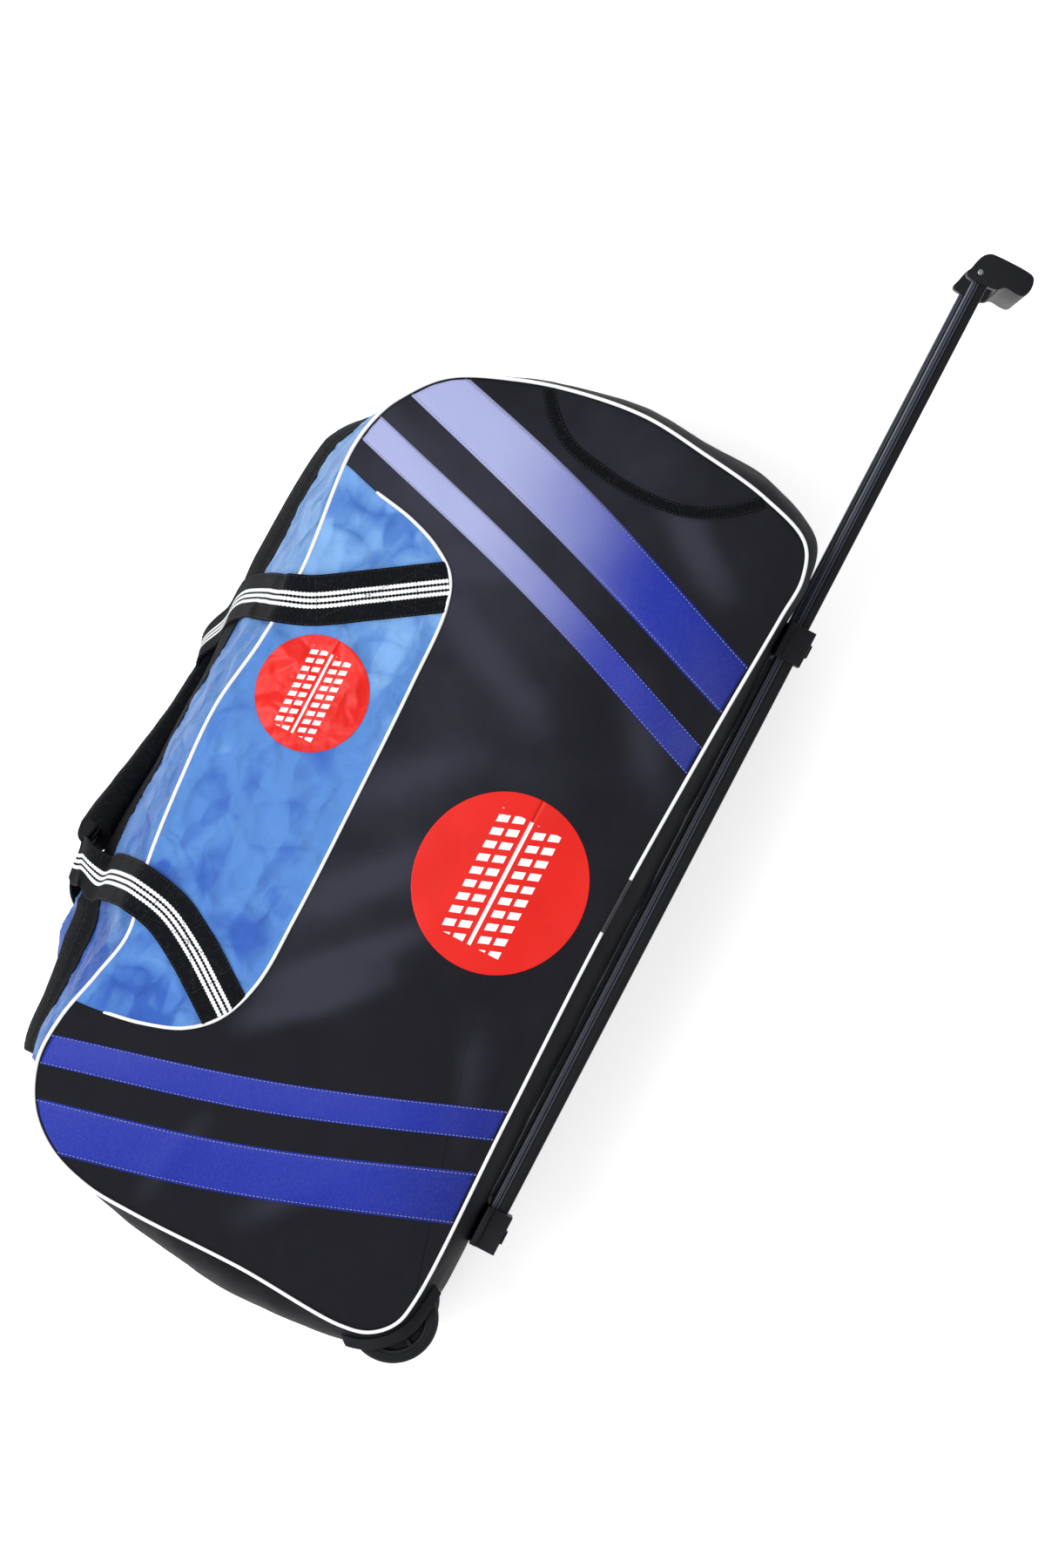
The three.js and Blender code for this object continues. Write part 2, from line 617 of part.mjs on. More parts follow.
function makeEndPatch() {
  const field = prism(insetOutline(SEAM_INSET + GAP));
  const edge = flatCurve(PATCH_EDGE, PATCH_STEPS);
  const outside = [point(BEYOND_END, edge.at(-1).y, 0), point(BEYOND_END, edge[0].y, 0)];
  const region = (distance) => prism(outlineOf(moved(edge, distance), outside));
  const tapeRegion = region(0).subtract(region(TAPE_WIDTH));
  const patch = solid(frontLayer(GAP, GAP + PATCH)).intersect(field).intersect(region(TAPE_WIDTH + GAP));
  const tape = solid(frontLayer(GAP, GAP + TAPE)).intersect(field).intersect(tapeRegion);
  add('end_patch', geometryOf(patch), 'black');
  add('patch_binding', geometryOf(tape), 'webbing');
}

function makeBack() {
  const height = (k, ring, j) => BACK_TUCK * BACK_HEIGHTS[j];
  const inner = (k, ring, j) => BACK_TUCK * BACK_HEIGHTS[j] + CLOTH;
  add('back_panel', panel(BACK_RINGS, inner, height, CLOTH, 0, BACK_CENTRE), 'black');
}

function seamSweep(z, radius, from, to) {
  const ring = from === undefined;
  const places = ring ? STATIONS.map((_, k) => k / AROUND) : placesBetween(from, to);
  const stations = places.map(outlineAt);
  const centres = stations.map((at) => point(at.x, at.y, z));
  const across = stations.map((at) => point(at.outX, at.outY, 0).normalize());
  return cord(centres, across, radius, PIPING_SIDES, ring);
}

function makePiping() {
  const from = baseSideAt(SLEEVE_FROM * HALF_LENGTH);
  const to = baseSideAt(SLEEVE_TO * HALF_LENGTH);
  add('piping_front', seamSweep(FRONT_Z, PIPING_RADIUS, further(to, GAP / 2), further(from, -GAP / 2)), 'white');
  add('piping_joint', seamSweep(FRONT_Z, PIPING_RADIUS, further(from, GAP / 2), further(to, -GAP / 2)), 'black');
  add('piping_back', seamSweep(BACK_TUCK, PIPING_RADIUS), 'black');
}

// Gusset: the strip between the two seams, in pieces
function makeSides(wells) {
  const depths = [SEAM_DEPTH, ...SIDE_DEPTHS, -SEAM_DEPTH];
  const pieces = rows(['name', 'from', 'to'], [
    ['base_gusset', 'base wheel end', 'base handle end'],
    ['end_gusset_handle', 'base handle end', 'handle shoulder'],
    ['end_gusset_wheel', 'wheel shoulder', 'base wheel end'],
  ]);
  pieces.forEach(({ name, from, to }) => {
    const places = placesBetween(further(mark(from), GAP / 2), further(mark(to), -GAP / 2));
    let wall = solid(gussetWall(places, () => depths));
    wells.forEach((well) => {
      wall = wall.subtract(well);
    });
    add(name, geometryOf(wall), 'black');
  });
}

// Depths of the ridge table between two depths
function depthsBetween(high, low) {
  return RIDGE_PROFILE.map((row) => row.depth).filter((depth) => depth < high && depth > low);
}

const FRONT_DEPTHS = depthsBetween(SEAM_DEPTH, FRONT_TAPE_EDGE);
const BACK_DEPTHS = depthsBetween(BACK_TAPE_EDGE, -SEAM_DEPTH);

function makeTopGussets() {
  const from = further(mark('handle shoulder'), GAP / 2);
  const to = further(mark('wheel shoulder'), -GAP / 2);
  const zipFrom = mark('zip handle end');
  const zipTo = mark('zip wheel end');
  const slotFrom = further(zipFrom, GAP);
  const slotTo = further(zipTo, -GAP);
  const places = [
    ...placesBetween(from, zipFrom), ...placesBetween(slotFrom, slotTo), ...placesBetween(zipTo, to),
  ];
  const inZip = (u) => u > zipFrom && u < zipTo;
  const edgeAt = (u, edge) => (inZip(u) ? edge : CHAIN_DEPTH);
  const frontDepths = (u) => [SEAM_DEPTH, ...FRONT_DEPTHS, edgeAt(u, FRONT_TAPE_EDGE) + HALF_GAP_DEPTH];
  const backDepths = (u) => [edgeAt(u, BACK_TAPE_EDGE) - HALF_GAP_DEPTH, ...BACK_DEPTHS, -SEAM_DEPTH];
  add('top_gusset_front', gussetWall(places, frontDepths), 'blue');
  add('top_gusset_back', gussetWall(places, backDepths), 'blue');
  const zipPlaces = placesBetween(further(slotFrom, GAP), further(slotTo, -GAP));
  const strip = (high, low) => () => [high - HALF_GAP_DEPTH, low + HALF_GAP_DEPTH];
  const chainFront = CHAIN_DEPTH + CHAIN_HALF;
  const chainBack = CHAIN_DEPTH - CHAIN_HALF;
  add('zip_tape_front', gussetWall(zipPlaces, strip(FRONT_TAPE_EDGE, chainFront)), 'webbing');
  add('zip_tape_back', gussetWall(zipPlaces, strip(chainBack, BACK_TAPE_EDGE)), 'webbing');
  add('zip_chain', gussetWall(zipPlaces, strip(chainFront, chainBack), CLOTH + CHAIN_RISE, CHAIN_RISE), 'rod');
  const sliderFrom = zipSideAt(SLIDER_X * HALF_LENGTH);
  const sliderPlaces = placesBetween(sliderFrom, further(sliderFrom, SLIDER_LENGTH));
  const sliderHalf = SLIDER_WIDTH / BODY_DEPTH;
  const sliderDepths = () => [CHAIN_DEPTH + sliderHalf, chainFront, chainBack, CHAIN_DEPTH - sliderHalf];
  const sliderTop = CHAIN_RISE + GAP + SLIDER_HEIGHT;
  add('zip_slider', gussetWall(sliderPlaces, sliderDepths, SLIDER_HEIGHT, sliderTop), 'steel');
}

const SEARCH_STEPS = 30;

// Place on one side of the outline where it reaches an x
function placeAt(x, from, to, rising, xOf = (u) => outlineAt(u).x) {
  let [low, high] = [from, to];
  for (let i = 0; i < SEARCH_STEPS; i += 1) {
    const middle = (low + high) / 2;
    if (xOf(middle) < x === rising) {
      low = middle;
    } else {
      high = middle;
    }
  }
  return low;
}

function zipSideAt(x, xOf) {
  return placeAt(x, mark('handle shoulder'), mark('wheel shoulder'), false, xOf);
}

function baseSideAt(x) {
  return placeAt(x, mark('base wheel end'), mark('base handle end'), true);
}

// Handles: underside of the webbing and the way it faces, row by row
const WEBBING_LIFT = 3 * GAP;
const LAYER_GAP = 4 * GAP; // between the layers of webbing in the wrap
const LAYER_STEP = WEBBING + LAYER_GAP;
const SLOT_GAP = 6 * GAP; // round both layers in the wrap
const DEPTH_STEP = 0.04;
const SEAM_TURN = 0.1; // share of half the depth over which the webbing turns round a seam
const SEAM_TILT = 0.6; // how far it turns there, from the side's own facing to straight up
const WRAP_STEPS = 7;
const WRAP_SIDES = 8;

function onPanel({ x, y }) {
  const place = point(x * HALF_LENGTH, y * HALF_HEIGHT, 0);
  place.z = panelHeight(place.x, place.y) + WEBBING_LIFT;
  return { place, facing: point(0, 0, 1) };
}

function overSide({ x, depth, slack }) {
  const u = zipSideAt(x * HALF_LENGTH);
  const across = gussetPoint(u, depth - DEPTH_STEP).sub(gussetPoint(u, depth + DEPTH_STEP));
  const nearSeam = Math.max(0, 1 - (1 - Math.abs(depth)) / SEAM_TURN);
  const facing = point(1, 0, 0).cross(across).normalize();
  facing.lerp(point(0, 0, Math.sign(depth)), SEAM_TILT * nearSeam).normalize();
  const off = slack * WEBBING_SLACK + WEBBING_LIFT + 2 * PIPING_RADIUS * nearSeam;
  return { place: gussetPoint(u, depth).addScaledVector(facing, off), facing };
}

function inTheOpen({ x, rise, aside }, layer = 1) {
  const y = HALF_HEIGHT + rise * RIDGE_RISE + layer * LAYER_STEP;
  return { place: point(x * HALF_LENGTH, y, MID_Z + aside * HALF_DEPTH), facing: point(0, 1, 0) };
}

// Height of the cloth over the zip side at any x and z
function zipSideHeight(x, z) {
  const depth = (z - MID_Z) / HALF_DEPTH;
  return gussetPoint(zipSideAt(x, (u) => gussetPoint(u, depth).x), depth).y;
}

// Webbing that would dip into the cloth or a seam cord lies on it instead
function settled(place) {
  const over = PIPING_RADIUS + WEBBING_LIFT;
  if (place.z > FRONT_Z - over && inside(place.x, place.y) > -over) {
    const onCord = inside(place.x, place.y) < 2 * over;
    const height = onCord ? FRONT_Z + over : panelHeight(place.x, place.y) + WEBBING_LIFT;
    return point(place.x, place.y, Math.max(place.z, height));
  }
  const cordOut = Math.abs(place.z - MID_Z) > HALF_DEPTH - 2 * over ? over : WEBBING_LIFT;
  return point(place.x, Math.max(place.y, zipSideHeight(place.x, place.z) + cordOut), place.z);
}

// How far a point of the front lies inside the seam
function inside(x, y) {
  for (let k = 0; k < AROUND; k += 1) {
    const a = STATIONS[k];
    const b = STATIONS[(k + 1) % AROUND];
    const whole = a.x * b.y - a.y * b.x;
    const shareA = (x * b.y - y * b.x) / whole;
    const shareB = (a.x * y - a.y * x) / whole;
    if (shareA >= 0 && shareB >= 0) {
      return (1 - shareA - shareB) * (a.x * a.outX + a.y * a.outY);
    }
  }
  return 0;
}

// Webbing: a flat band along smooth rows, grown on all sides where it cuts its slot in the wrap
function webbing(controls, steps, grown = 0) {
  const path = new THREE.CatmullRomCurve3(controls.map(({ place }) => place), false, 'centripetal');
  const faces = new THREE.CatmullRomCurve3(controls.map(({ facing }) => facing), false, 'centripetal');
  const stations = [];
  for (let i = 0; i <= steps; i += 1) {
    const t = path.getUtoTmapping(i / steps);
    const centre = path.getPoint(t);
    const facing = faces.getPoint(t).normalize();
    const wide = path.getTangent(t).cross(facing).normalize().multiplyScalar(WEBBING_WIDTH / 2 + grown);
    const row = [-1, 0, 1].map((side) => settled(centre.clone().addScaledVector(wide, side)));
    stations.push({
      inner: row.map((p) => p.clone().addScaledVector(facing, -grown)),
      outer: row.map((p) => p.clone().addScaledVector(facing, WEBBING + grown)),
    });
  }
  return slab(stations);
}

function frontHandle(grown) {
  const rowsInOrder = [
    ...FRONT_HANDLE.right.map(onPanel), ...FRONT_HANDLE.overRight.map(overSide),
    ...[...FRONT_HANDLE.openRight, ...WRAP_LINE, ...FRONT_HANDLE.openLeft].map((row) => inTheOpen(row)),
    ...FRONT_HANDLE.overLeft.map(overSide), ...FRONT_HANDLE.left.map(onPanel),
  ];
  return webbing(rowsInOrder, FRONT_HANDLE_STEPS, grown);
}

function backHandle(grown) {
  const rowsInOrder = [
    ...BACK_HANDLE.overRight.map(overSide),
    ...[...BACK_HANDLE.openRight, ...WRAP_LINE, ...BACK_HANDLE.openLeft].map((row) => inTheOpen(row, 0)),
    ...BACK_HANDLE.overLeft.map(overSide),
  ];
  return webbing(rowsInOrder, BACK_HANDLE_STEPS, grown);
}

function makeHandles(slot) {
  const below = moved(YOKE_CURVE, WEBBING_WIDTH);
  const trim = prism(outlineOf(moved(YOKE_CURVE, -GAP), below.reverse()));
  const seat = (z) => solid(seamSweep(z, SLOT_RADIUS));
  const side = placesBetween(mark('zip handle end'), mark('zip wheel end'));
  const cover = (depths) => solid(gussetWall(side, () => depths, CLOTH + GAP, GAP));
  const front = solid(frontHandle(0))
    .subtract(trim)
    .subtract(slot)
    .subtract(seat(FRONT_Z))
    .subtract(solid(frontLayer(-CLOTH, GAP)))
    .subtract(cover([SEAM_DEPTH + 2 * HALF_GAP_DEPTH, ...FRONT_DEPTHS, FRONT_TAPE_EDGE]))
    .subtract(solid(backHandle(GAP)));
  add('handle_front', geometryOf(front), 'webbing');
  const back = solid(backHandle(0))
    .subtract(seat(BACK_TUCK))
    .subtract(cover([BACK_TAPE_EDGE, ...BACK_DEPTHS, -SEAM_DEPTH - 2 * HALF_GAP_DEPTH]));
  add('handle_back', geometryOf(back), 'webbing');
}

// Padded wrap: an oval roll round both layers of webbing, with one slot for them
function makeWrap() {
  const path = new THREE.CatmullRomCurve3(WRAP_LINE.map((row) => inTheOpen(row, 0).place), false, 'centripetal');
  const middle = (LAYER_STEP + WEBBING) / 2;
  const roll = (from, to, loop) => {
    const sections = Array.from({ length: WRAP_STEPS + 1 }, (_, i) => {
      const x = (from + ((to - from) * i) / WRAP_STEPS) * HALF_LENGTH;
      const t = placeAt(x, 0, 1, false, (u) => path.getPoint(u).x);
      const centre = path.getPoint(t).add(point(0, middle, 0));
      const wide = path.getTangent(t).cross(point(0, 1, 0)).normalize();
      return loop.map(([across, up]) => centre.clone().addScaledVector(wide, across).add(point(0, up, 0)));
    });
    return solid(sweep(sections, Array.from({ length: loop.length - 2 }, (_, k) => [0, k + 1, k + 2])));
  };
  const oval = Array.from({ length: WRAP_SIDES }, (_, k) => {
    const turn = ((k + 0.5) * 2 * Math.PI) / WRAP_SIDES;
    return [(WRAP_WIDTH / 2) * Math.cos(turn), (WRAP_THICKNESS / 2) * Math.sin(turn)];
  });
  const half = WEBBING_WIDTH / 2 + SLOT_GAP;
  const high = middle + SLOT_GAP;
  const slot = [[half, high], [-half, high], [-half, -high], [half, -high]];
  const past = (WRAP_FROM - WRAP_TO) / WRAP_STEPS / WRAP_SIDES;
  const tunnel = roll(WRAP_TO - past, WRAP_FROM + past, slot);
  add('handle_wrap', geometryOf(roll(WRAP_TO, WRAP_FROM, oval).subtract(tunnel)), 'black');
}

// Fullest reach of the base between two places along the bag
function baseBetween(start, end) {
  const reach = [baseSideAt(start), baseSideAt(end)];
  return Math.min(...placesBetween(reach[0], reach[1]).map((u) => gussetPoint(u, 0).y));
}

const TUBE_Y = baseBetween(LOWER_BRACKET.start, UPPER_BRACKET.end) - TUBE_STANDOFF - TUBE / 2;
const SIDES = rows(['name', 'side'], [['near', 1], ['far', -1]]);

function crossMember({ start, end, bumpStart, bumpEnd }, name) {
  const seat = baseBetween(start, end) - GAP;
  const outerY = TUBE_Y - TUBE / 2 - BRACKET_WALL;
  const half = BRACKET_SPAN / 2;
  const bore = TUBE / 2 + GAP;
  const boreFrom = start < 0 ? start + BRACKET_PLATE - GAP : start - BRACKET_PLATE;
  let shape = solid(box([start, seat - BRACKET_PLATE, MID_Z - half], [end, seat, MID_Z + half]));
  SIDES.forEach(({ side }) => {
    const z = MID_Z + (side * ROD_SPACING) / 2;
    const skidHalf = SKID_WIDTH / 2;
    const block = box([start, outerY, z - BRACKET_BLOCK / 2], [end, seat, z + BRACKET_BLOCK / 2]);
    const skid = box([bumpStart, outerY - BUMP, z - skidHalf], [bumpEnd, outerY + BUMP, z + skidHalf]);
    const tunnel = box([boreFrom, TUBE_Y - bore, z - bore], [end + BRACKET_PLATE, TUBE_Y + bore, z + bore]);
    shape = shape.add(solid(block)).add(solid(skid)).subtract(solid(tunnel));
  });
  add(name, geometryOf(shape), 'plastic');
}

// Trolley: two outer tubes between cross-members on the base, and two rods that slide in them
function makeTrolley() {
  crossMember(LOWER_BRACKET, 'bracket_lower');
  crossMember(UPPER_BRACKET, 'bracket_upper');
  const tubeFrom = LOWER_BRACKET.start + BRACKET_PLATE;
  const inTube = TUBE / 2 - TUBE_WALL;
  const rodTo = GRIP_FACE_X + SOCKET_DEPTH;
  SIDES.forEach(({ name, side }) => {
    const z = MID_Z + (side * ROD_SPACING) / 2;
    const square = (half, from, to) => box([from, TUBE_Y - half, z - half], [to, TUBE_Y + half, z + half]);
    const tube = solid(square(TUBE / 2, tubeFrom, UPPER_BRACKET.end))
      .subtract(solid(square(inTube, tubeFrom + TUBE_WALL, UPPER_BRACKET.end + TUBE)));
    add(`tube_${name}`, geometryOf(tube), 'rod');
    add(`rod_${name}`, square(ROD / 2, rodTo - ROD_LENGTH, rodTo), 'rod');
  });
}

// Grip seen from the side: x from the face that the rods enter, y from the middle of the rods
const GRIP_PROFILE = rows(['x', 'y'], [
  [0, 0.25], [0.38, 0.235], [0.8, 0.165], [0.97, 0.06], [1, -0.06], [1, -0.56], [0.95, -0.7], [0.78, -0.76],
  [0.42, -0.765], [0.23, -0.7], [0.2, -0.58], [0.22, -0.4], [0.04, -0.28], [0, -0.16],
]);
const BAR_TOP = -0.3; // the bar of the grip is the lower part of its shape

function makeGrip() {
  const place = ({ x, y }) => [GRIP_FACE_X + x * GRIP_REACH, TUBE_Y + y * GRIP_HEIGHT];
  const armHalf = ARM_WIDTH / 2;
  const low = MID_Z - ROD_SPACING / 2 - armHalf;
  const high = MID_Z + ROD_SPACING / 2 + armHalf;
  let shape = solid(extruded(GRIP_PROFILE.map(place), low, high));
  const hand = box(
    [GRIP_FACE_X - GRIP_REACH, TUBE_Y + BAR_TOP * GRIP_HEIGHT, low + ARM_WIDTH],
    [GRIP_FACE_X + 2 * GRIP_REACH, TUBE_Y + GRIP_HEIGHT, high - ARM_WIDTH],
  );
  shape = shape.subtract(solid(hand));
  SIDES.forEach(({ name, side }) => {
    const z = MID_Z + (side * ROD_SPACING) / 2;
    const bore = ROD / 2 + GAP;
    shape = shape.subtract(solid(box(
      [GRIP_FACE_X - GRIP_REACH, TUBE_Y - bore, z - bore], [GRIP_FACE_X + SOCKET_DEPTH + GAP, TUBE_Y + bore, z + bore],
    )));
    const face = side > 0 ? high : low;
    const seat = [face - side * SCREW_HEAD, face + side * GAP].sort((a, b) => a - b);
    const screwX = GRIP_FACE_X + SCREW_IN;
    const screwY = TUBE_Y + SCREW_OFF;
    shape = shape.subtract(solid(drum(SCREW_RADIUS + GAP, seat[0] - GAP, seat[1] + GAP, PIN_SIDES, screwX, screwY)));
    add(`grip_screw_${name}`, drum(SCREW_RADIUS, seat[0], seat[1], PIN_SIDES, screwX, screwY), 'steel');
  });
  add('grip', geometryOf(shape), 'plastic');
}

// Wheels: each in a cup let into the corner of the bag, on an axle through both cheeks of the cup
function housingEnds(side) {
  const middle = MID_Z + (side * WHEEL_SPACING) / 2;
  const half = WHEEL_WIDTH / 2 + CHEEK_CLEARANCE + HOUSING_WALL;
  return [middle - half, middle + half];
}

const CUP_RADIUS = WHEEL_RADIUS + WHEEL_CLEARANCE + HOUSING_WALL;

function wheelWells() {
  return SIDES.map(({ side }) => {
    const [low, high] = housingEnds(side);
    return solid(drum(CUP_RADIUS + GAP, low - GAP, high + GAP, WHEEL_SIDES));
  });
}

function makeWheels() {
  SIDES.forEach(({ name, side }) => {
    const [low, high] = housingEnds(side);
    const middle = (low + high) / 2;
    const half = WHEEL_WIDTH / 2;
    const body = solid(extruded(insetOutline(-SIDE_SWELL / 2 - HOUSING_LIP), low, high));
    const hollow = drum(
      WHEEL_RADIUS + WHEEL_CLEARANCE, middle - half - CHEEK_CLEARANCE, middle + half + CHEEK_CLEARANCE, WHEEL_SIDES,
    );
    const cup = solid(drum(CUP_RADIUS, low, high, WHEEL_SIDES))
      .intersect(body)
      .subtract(solid(hollow))
      .subtract(solid(drum(AXLE_RADIUS + GAP, low - HOUSING_WALL, high + HOUSING_WALL, PIN_SIDES)));
    add(`wheel_housing_${name}`, geometryOf(cup), 'plastic');
    add(`axle_${name}`, drum(AXLE_RADIUS, low, high, PIN_SIDES), 'steel');
    add(`tyre_${name}`, tyre(middle), 'rubber');
    add(`hub_${name}`, hub(middle), 'plastic');
  });
}

function ringAbout(profile, middle, sides) {
  const closedProfile = [...profile, profile[0]].map(([r, z]) => new THREE.Vector2(r, z));
  return new THREE.LatheGeometry(closedProfile, sides).rotateX(Math.PI / 2).translate(WHEEL_X, WHEEL_Y, middle);
}

function tyre(middle) {
  const half = WHEEL_WIDTH / 2;
  const inner = WHEEL_RADIUS - TYRE_THICKNESS;
  const shoulder = WHEEL_RADIUS - TYRE_SHOULDER;
  const tread = TYRE_TREAD / 2;
  const profile = [
    [inner, -half], [shoulder, -half], [WHEEL_RADIUS, -tread], [WHEEL_RADIUS, tread], [shoulder, half], [inner, half],
  ];
  return ringAbout(profile, middle, WHEEL_SIDES);
}

function hub(middle) {
  const half = WHEEL_WIDTH / 2 - CHEEK_CLEARANCE;
  const rim = WHEEL_RADIUS - TYRE_THICKNESS - GAP;
  const web = HUB_WEB / 2;
  const bore = AXLE_RADIUS + GAP;
  const boss = 2 * AXLE_RADIUS + GAP;
  const profile = [
    [bore, -half], [boss, -half], [boss, -web], [rim, -web], [rim, web], [boss, web], [boss, half], [bore, half],
  ];
  return ringAbout(profile, middle, WHEEL_SIDES);
}

bag.name = 'cricket_kit_bag';
const cordSlot = makeFront();
makeStripes();
makeEndPatch();
makeBack();
makePiping();
makeSides(wheelWells());
makeTopGussets();
makeHandles(cordSlot);
makeWrap();
makeTrolley();
makeGrip();
makeWheels();

export default bag;
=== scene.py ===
"""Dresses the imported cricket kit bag: cloth, cords, zip, handles, trolley and wheels, in metres."""

import math

import bmesh
import bpy
import numpy as np
from mathutils import Matrix, Vector, noise
from mathutils.bvhtree import BVHTree


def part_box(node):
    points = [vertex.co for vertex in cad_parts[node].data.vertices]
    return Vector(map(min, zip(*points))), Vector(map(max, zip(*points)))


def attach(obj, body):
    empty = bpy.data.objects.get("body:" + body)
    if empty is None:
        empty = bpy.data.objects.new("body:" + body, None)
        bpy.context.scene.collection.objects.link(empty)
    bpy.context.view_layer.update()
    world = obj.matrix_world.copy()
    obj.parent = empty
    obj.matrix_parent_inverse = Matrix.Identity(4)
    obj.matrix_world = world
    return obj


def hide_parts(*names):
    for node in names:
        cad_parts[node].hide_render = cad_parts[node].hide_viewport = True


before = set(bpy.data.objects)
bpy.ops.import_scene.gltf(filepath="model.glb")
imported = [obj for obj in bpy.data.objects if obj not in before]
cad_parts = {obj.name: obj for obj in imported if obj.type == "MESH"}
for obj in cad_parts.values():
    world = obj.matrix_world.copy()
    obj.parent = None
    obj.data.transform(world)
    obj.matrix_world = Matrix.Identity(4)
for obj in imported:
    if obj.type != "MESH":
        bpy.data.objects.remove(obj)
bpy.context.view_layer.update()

bl_info = {
    "name": "Cricket kit bag",
    "version": (1, 0, 0),
    "blender": (4, 5, 0),
    "location": "3D View > Sidebar > Kit Bag",
    "description": "Builds the cloth, trims, trolley and wheels of a cricket kit bag round its solids",
    "category": "Object",
}

MM = 0.001
MIDDLE_HEIGHT = 0.17
BAG, TROLLEY = "bag", "trolley"
# Wheels: radius and wall of the housings, distance of their middles from the bag's, half the hole in the cloth.
CUP_RADIUS, CUP_WALL = 0.0503, 0.005
WHEEL_ASIDE, WELL_HALF = 0.115, 0.02
WELL_RADIUS = CUP_RADIUS - CUP_WALL / 2
SIDES = (("near", 1), ("far", -1))

# The front seam, from the wheel end of the base round to the handle end and back over the zip side.
# Columns: name, x and y as shares of half the length and height, shares of the bulge and of the ridge,
# and how steeply the front of the ridge stands, from 0 to 1.
OUTLINE = (
    ("base wheel end", -0.872, -0.981, 0.6, 0, 0),
    ("", -0.459, -0.971, 0.69, 0, 0),
    ("", 0, -0.962, 0.75, 0, 0),
    ("", 0.459, -0.99, 0.56, 0, 0),
    ("", 0.757, -1.02, 0.34, 0, 0),
    ("base handle end", 0.853, -1.026, 0.33, 0, 0),
    ("", 0.922, -0.962, 0.5, 0, 0),
    ("", 0.967, -0.714, 0.62, 0, 0),
    ("", 0.99, -0.386, 0.47, 0, 0),
    ("", 1.002, -0.095, 0.4, 0, 0),
    ("", 0.982, 0.219, 0.27, 0, 0),
    ("", 0.947, 0.476, 0.18, 0, 0),
    ("handle shoulder", 0.883, 0.757, 0.06, 0, 0),
    ("", 0.8, 0.898, 0.03, 0, 0),
    ("zip handle end", 0.748, 0.948, 0.03, 0.12, 0),
    ("", 0.658, 0.981, 0.02, 0.5, 0.3),
    ("", 0.381, 0.931, 0, 0.81, 0.5),
    ("", 0.211, 0.948, 0, 0.67, 0.75),
    ("", 0.046, 0.992, 0, 0.47, 1),
    ("", -0.119, 0.979, 0, 0.53, 1),
    ("", -0.317, 0.938, 0, 0.76, 0.8),
    ("", -0.466, 0.871, 0, 1, 0.35),
    ("", -0.573, 0.91, 0, 0.81, 0.1),
    ("", -0.69, 0.965, 0.02, 0.47, 0),
    ("zip wheel end", -0.791, 0.967, 0.03, 0.36, 0),
    ("wheel shoulder", -0.885, 0.879, 0.04, 0, 0),
    ("", -0.945, 0.729, 0.1, 0, 0),
    ("", -0.977, 0.524, 0.2, 0, 0),
    ("", -0.984, 0.286, 0.55, 0, 0),
    ("", -0.982, -0.238, 0.97, 0, 0),
    ("", -0.992, -0.738, 0.62, 0, 0),
    ("", -0.977, -0.867, 0.52, 0, 0),
    ("", -0.936, -0.952, 0.5, 0, 0),
)
# Rise of the zip side across the bag, soft and steep: depth runs from 1 at the front seam to -1 at the back.
RIDGE_PROFILE = ((1, 0), (0.75, 0.2), (0.24, 0.46), (0.12, 0.74), (0, 0.94), (-0.12, 1), (-0.6, 0.42), (-1, 0))
STEEP_PROFILE = ((1, 0), (0.75, 0.4), (0.24, 0.84), (0.12, 0.92), (0, 0.97), (-0.12, 1), (-0.6, 0.42), (-1, 0))
ZIP_END_FALL = (0.0008, 0.0052)
FRONT_TAPE_EDGE, CHAIN_DEPTH, BACK_TAPE_EDGE = 0.24, 0.12, 0.0

# Hollows in the front panel: centre and radii as shares of half the length and height, and depth.
DENTS = (
    (-0.5, 0.05, 0.1, 0.3, 0.7), (-0.86, -0.45, 0.1, 0.45, 0.8), (0.55, 0.1, 0.08, 0.3, 0.5),
    (0.86, -0.12, 0.07, 0.25, 0.7), (0.1, -0.75, 0.6, 0.16, 0.6), (-0.2, 0.75, 0.16, 0.16, 0.9),
    (-0.62, 0.78, 0.08, 0.2, 0.8), (0.5, 0.72, 0.1, 0.2, 0.8),
)
# Soft folds in the front panel: from x, y to x, y as shares, width and height in millimetres.
FOLDS = (
    (-0.53, 0.26, -0.3, -0.2, 16, 1.5), (-0.44, 0.24, -0.16, -0.3, 14, 1.1), (-0.24, 0.24, -0.02, -0.16, 18, 1.0),
    (0.02, 0.25, 0.2, -0.1, 20, 0.8), (0.46, 0.3, 0.33, -0.3, 18, 0.9), (0.53, 0.42, 0.6, 0.1, 12, 1.2),
    (-0.9, -0.1, -0.7, -0.5, 18, 1.1), (-0.95, 0.3, -0.74, 0.2, 14, 0.9), (0.9, -0.3, 0.74, -0.75, 16, 1.1),
    (0.75, 0.9, 0.62, 0.5, 14, 1.0), (-0.6, -0.9, -0.3, -0.66, 20, 0.9), (0.3, -0.9, 0.5, -0.6, 22, 0.9),
)
# Lower edge of the yoke, from the handle end to the wheel end, as shares.
YOKE_EDGE = (
    (0.624, 1.05), (0.622, 0.97), (0.6, 0.8), (0.583, 0.61), (0.556, 0.46), (0.516, 0.348), (0.45, 0.295),
    (0.27, 0.274), (0, 0.262), (-0.27, 0.257), (-0.436, 0.271), (-0.532, 0.343), (-0.587, 0.462),
    (-0.62, 0.64), (-0.637, 0.81), (-0.643, 0.95), (-0.643, 1.03),
)
YOKE_CORD_ROWS = slice(2, 15)
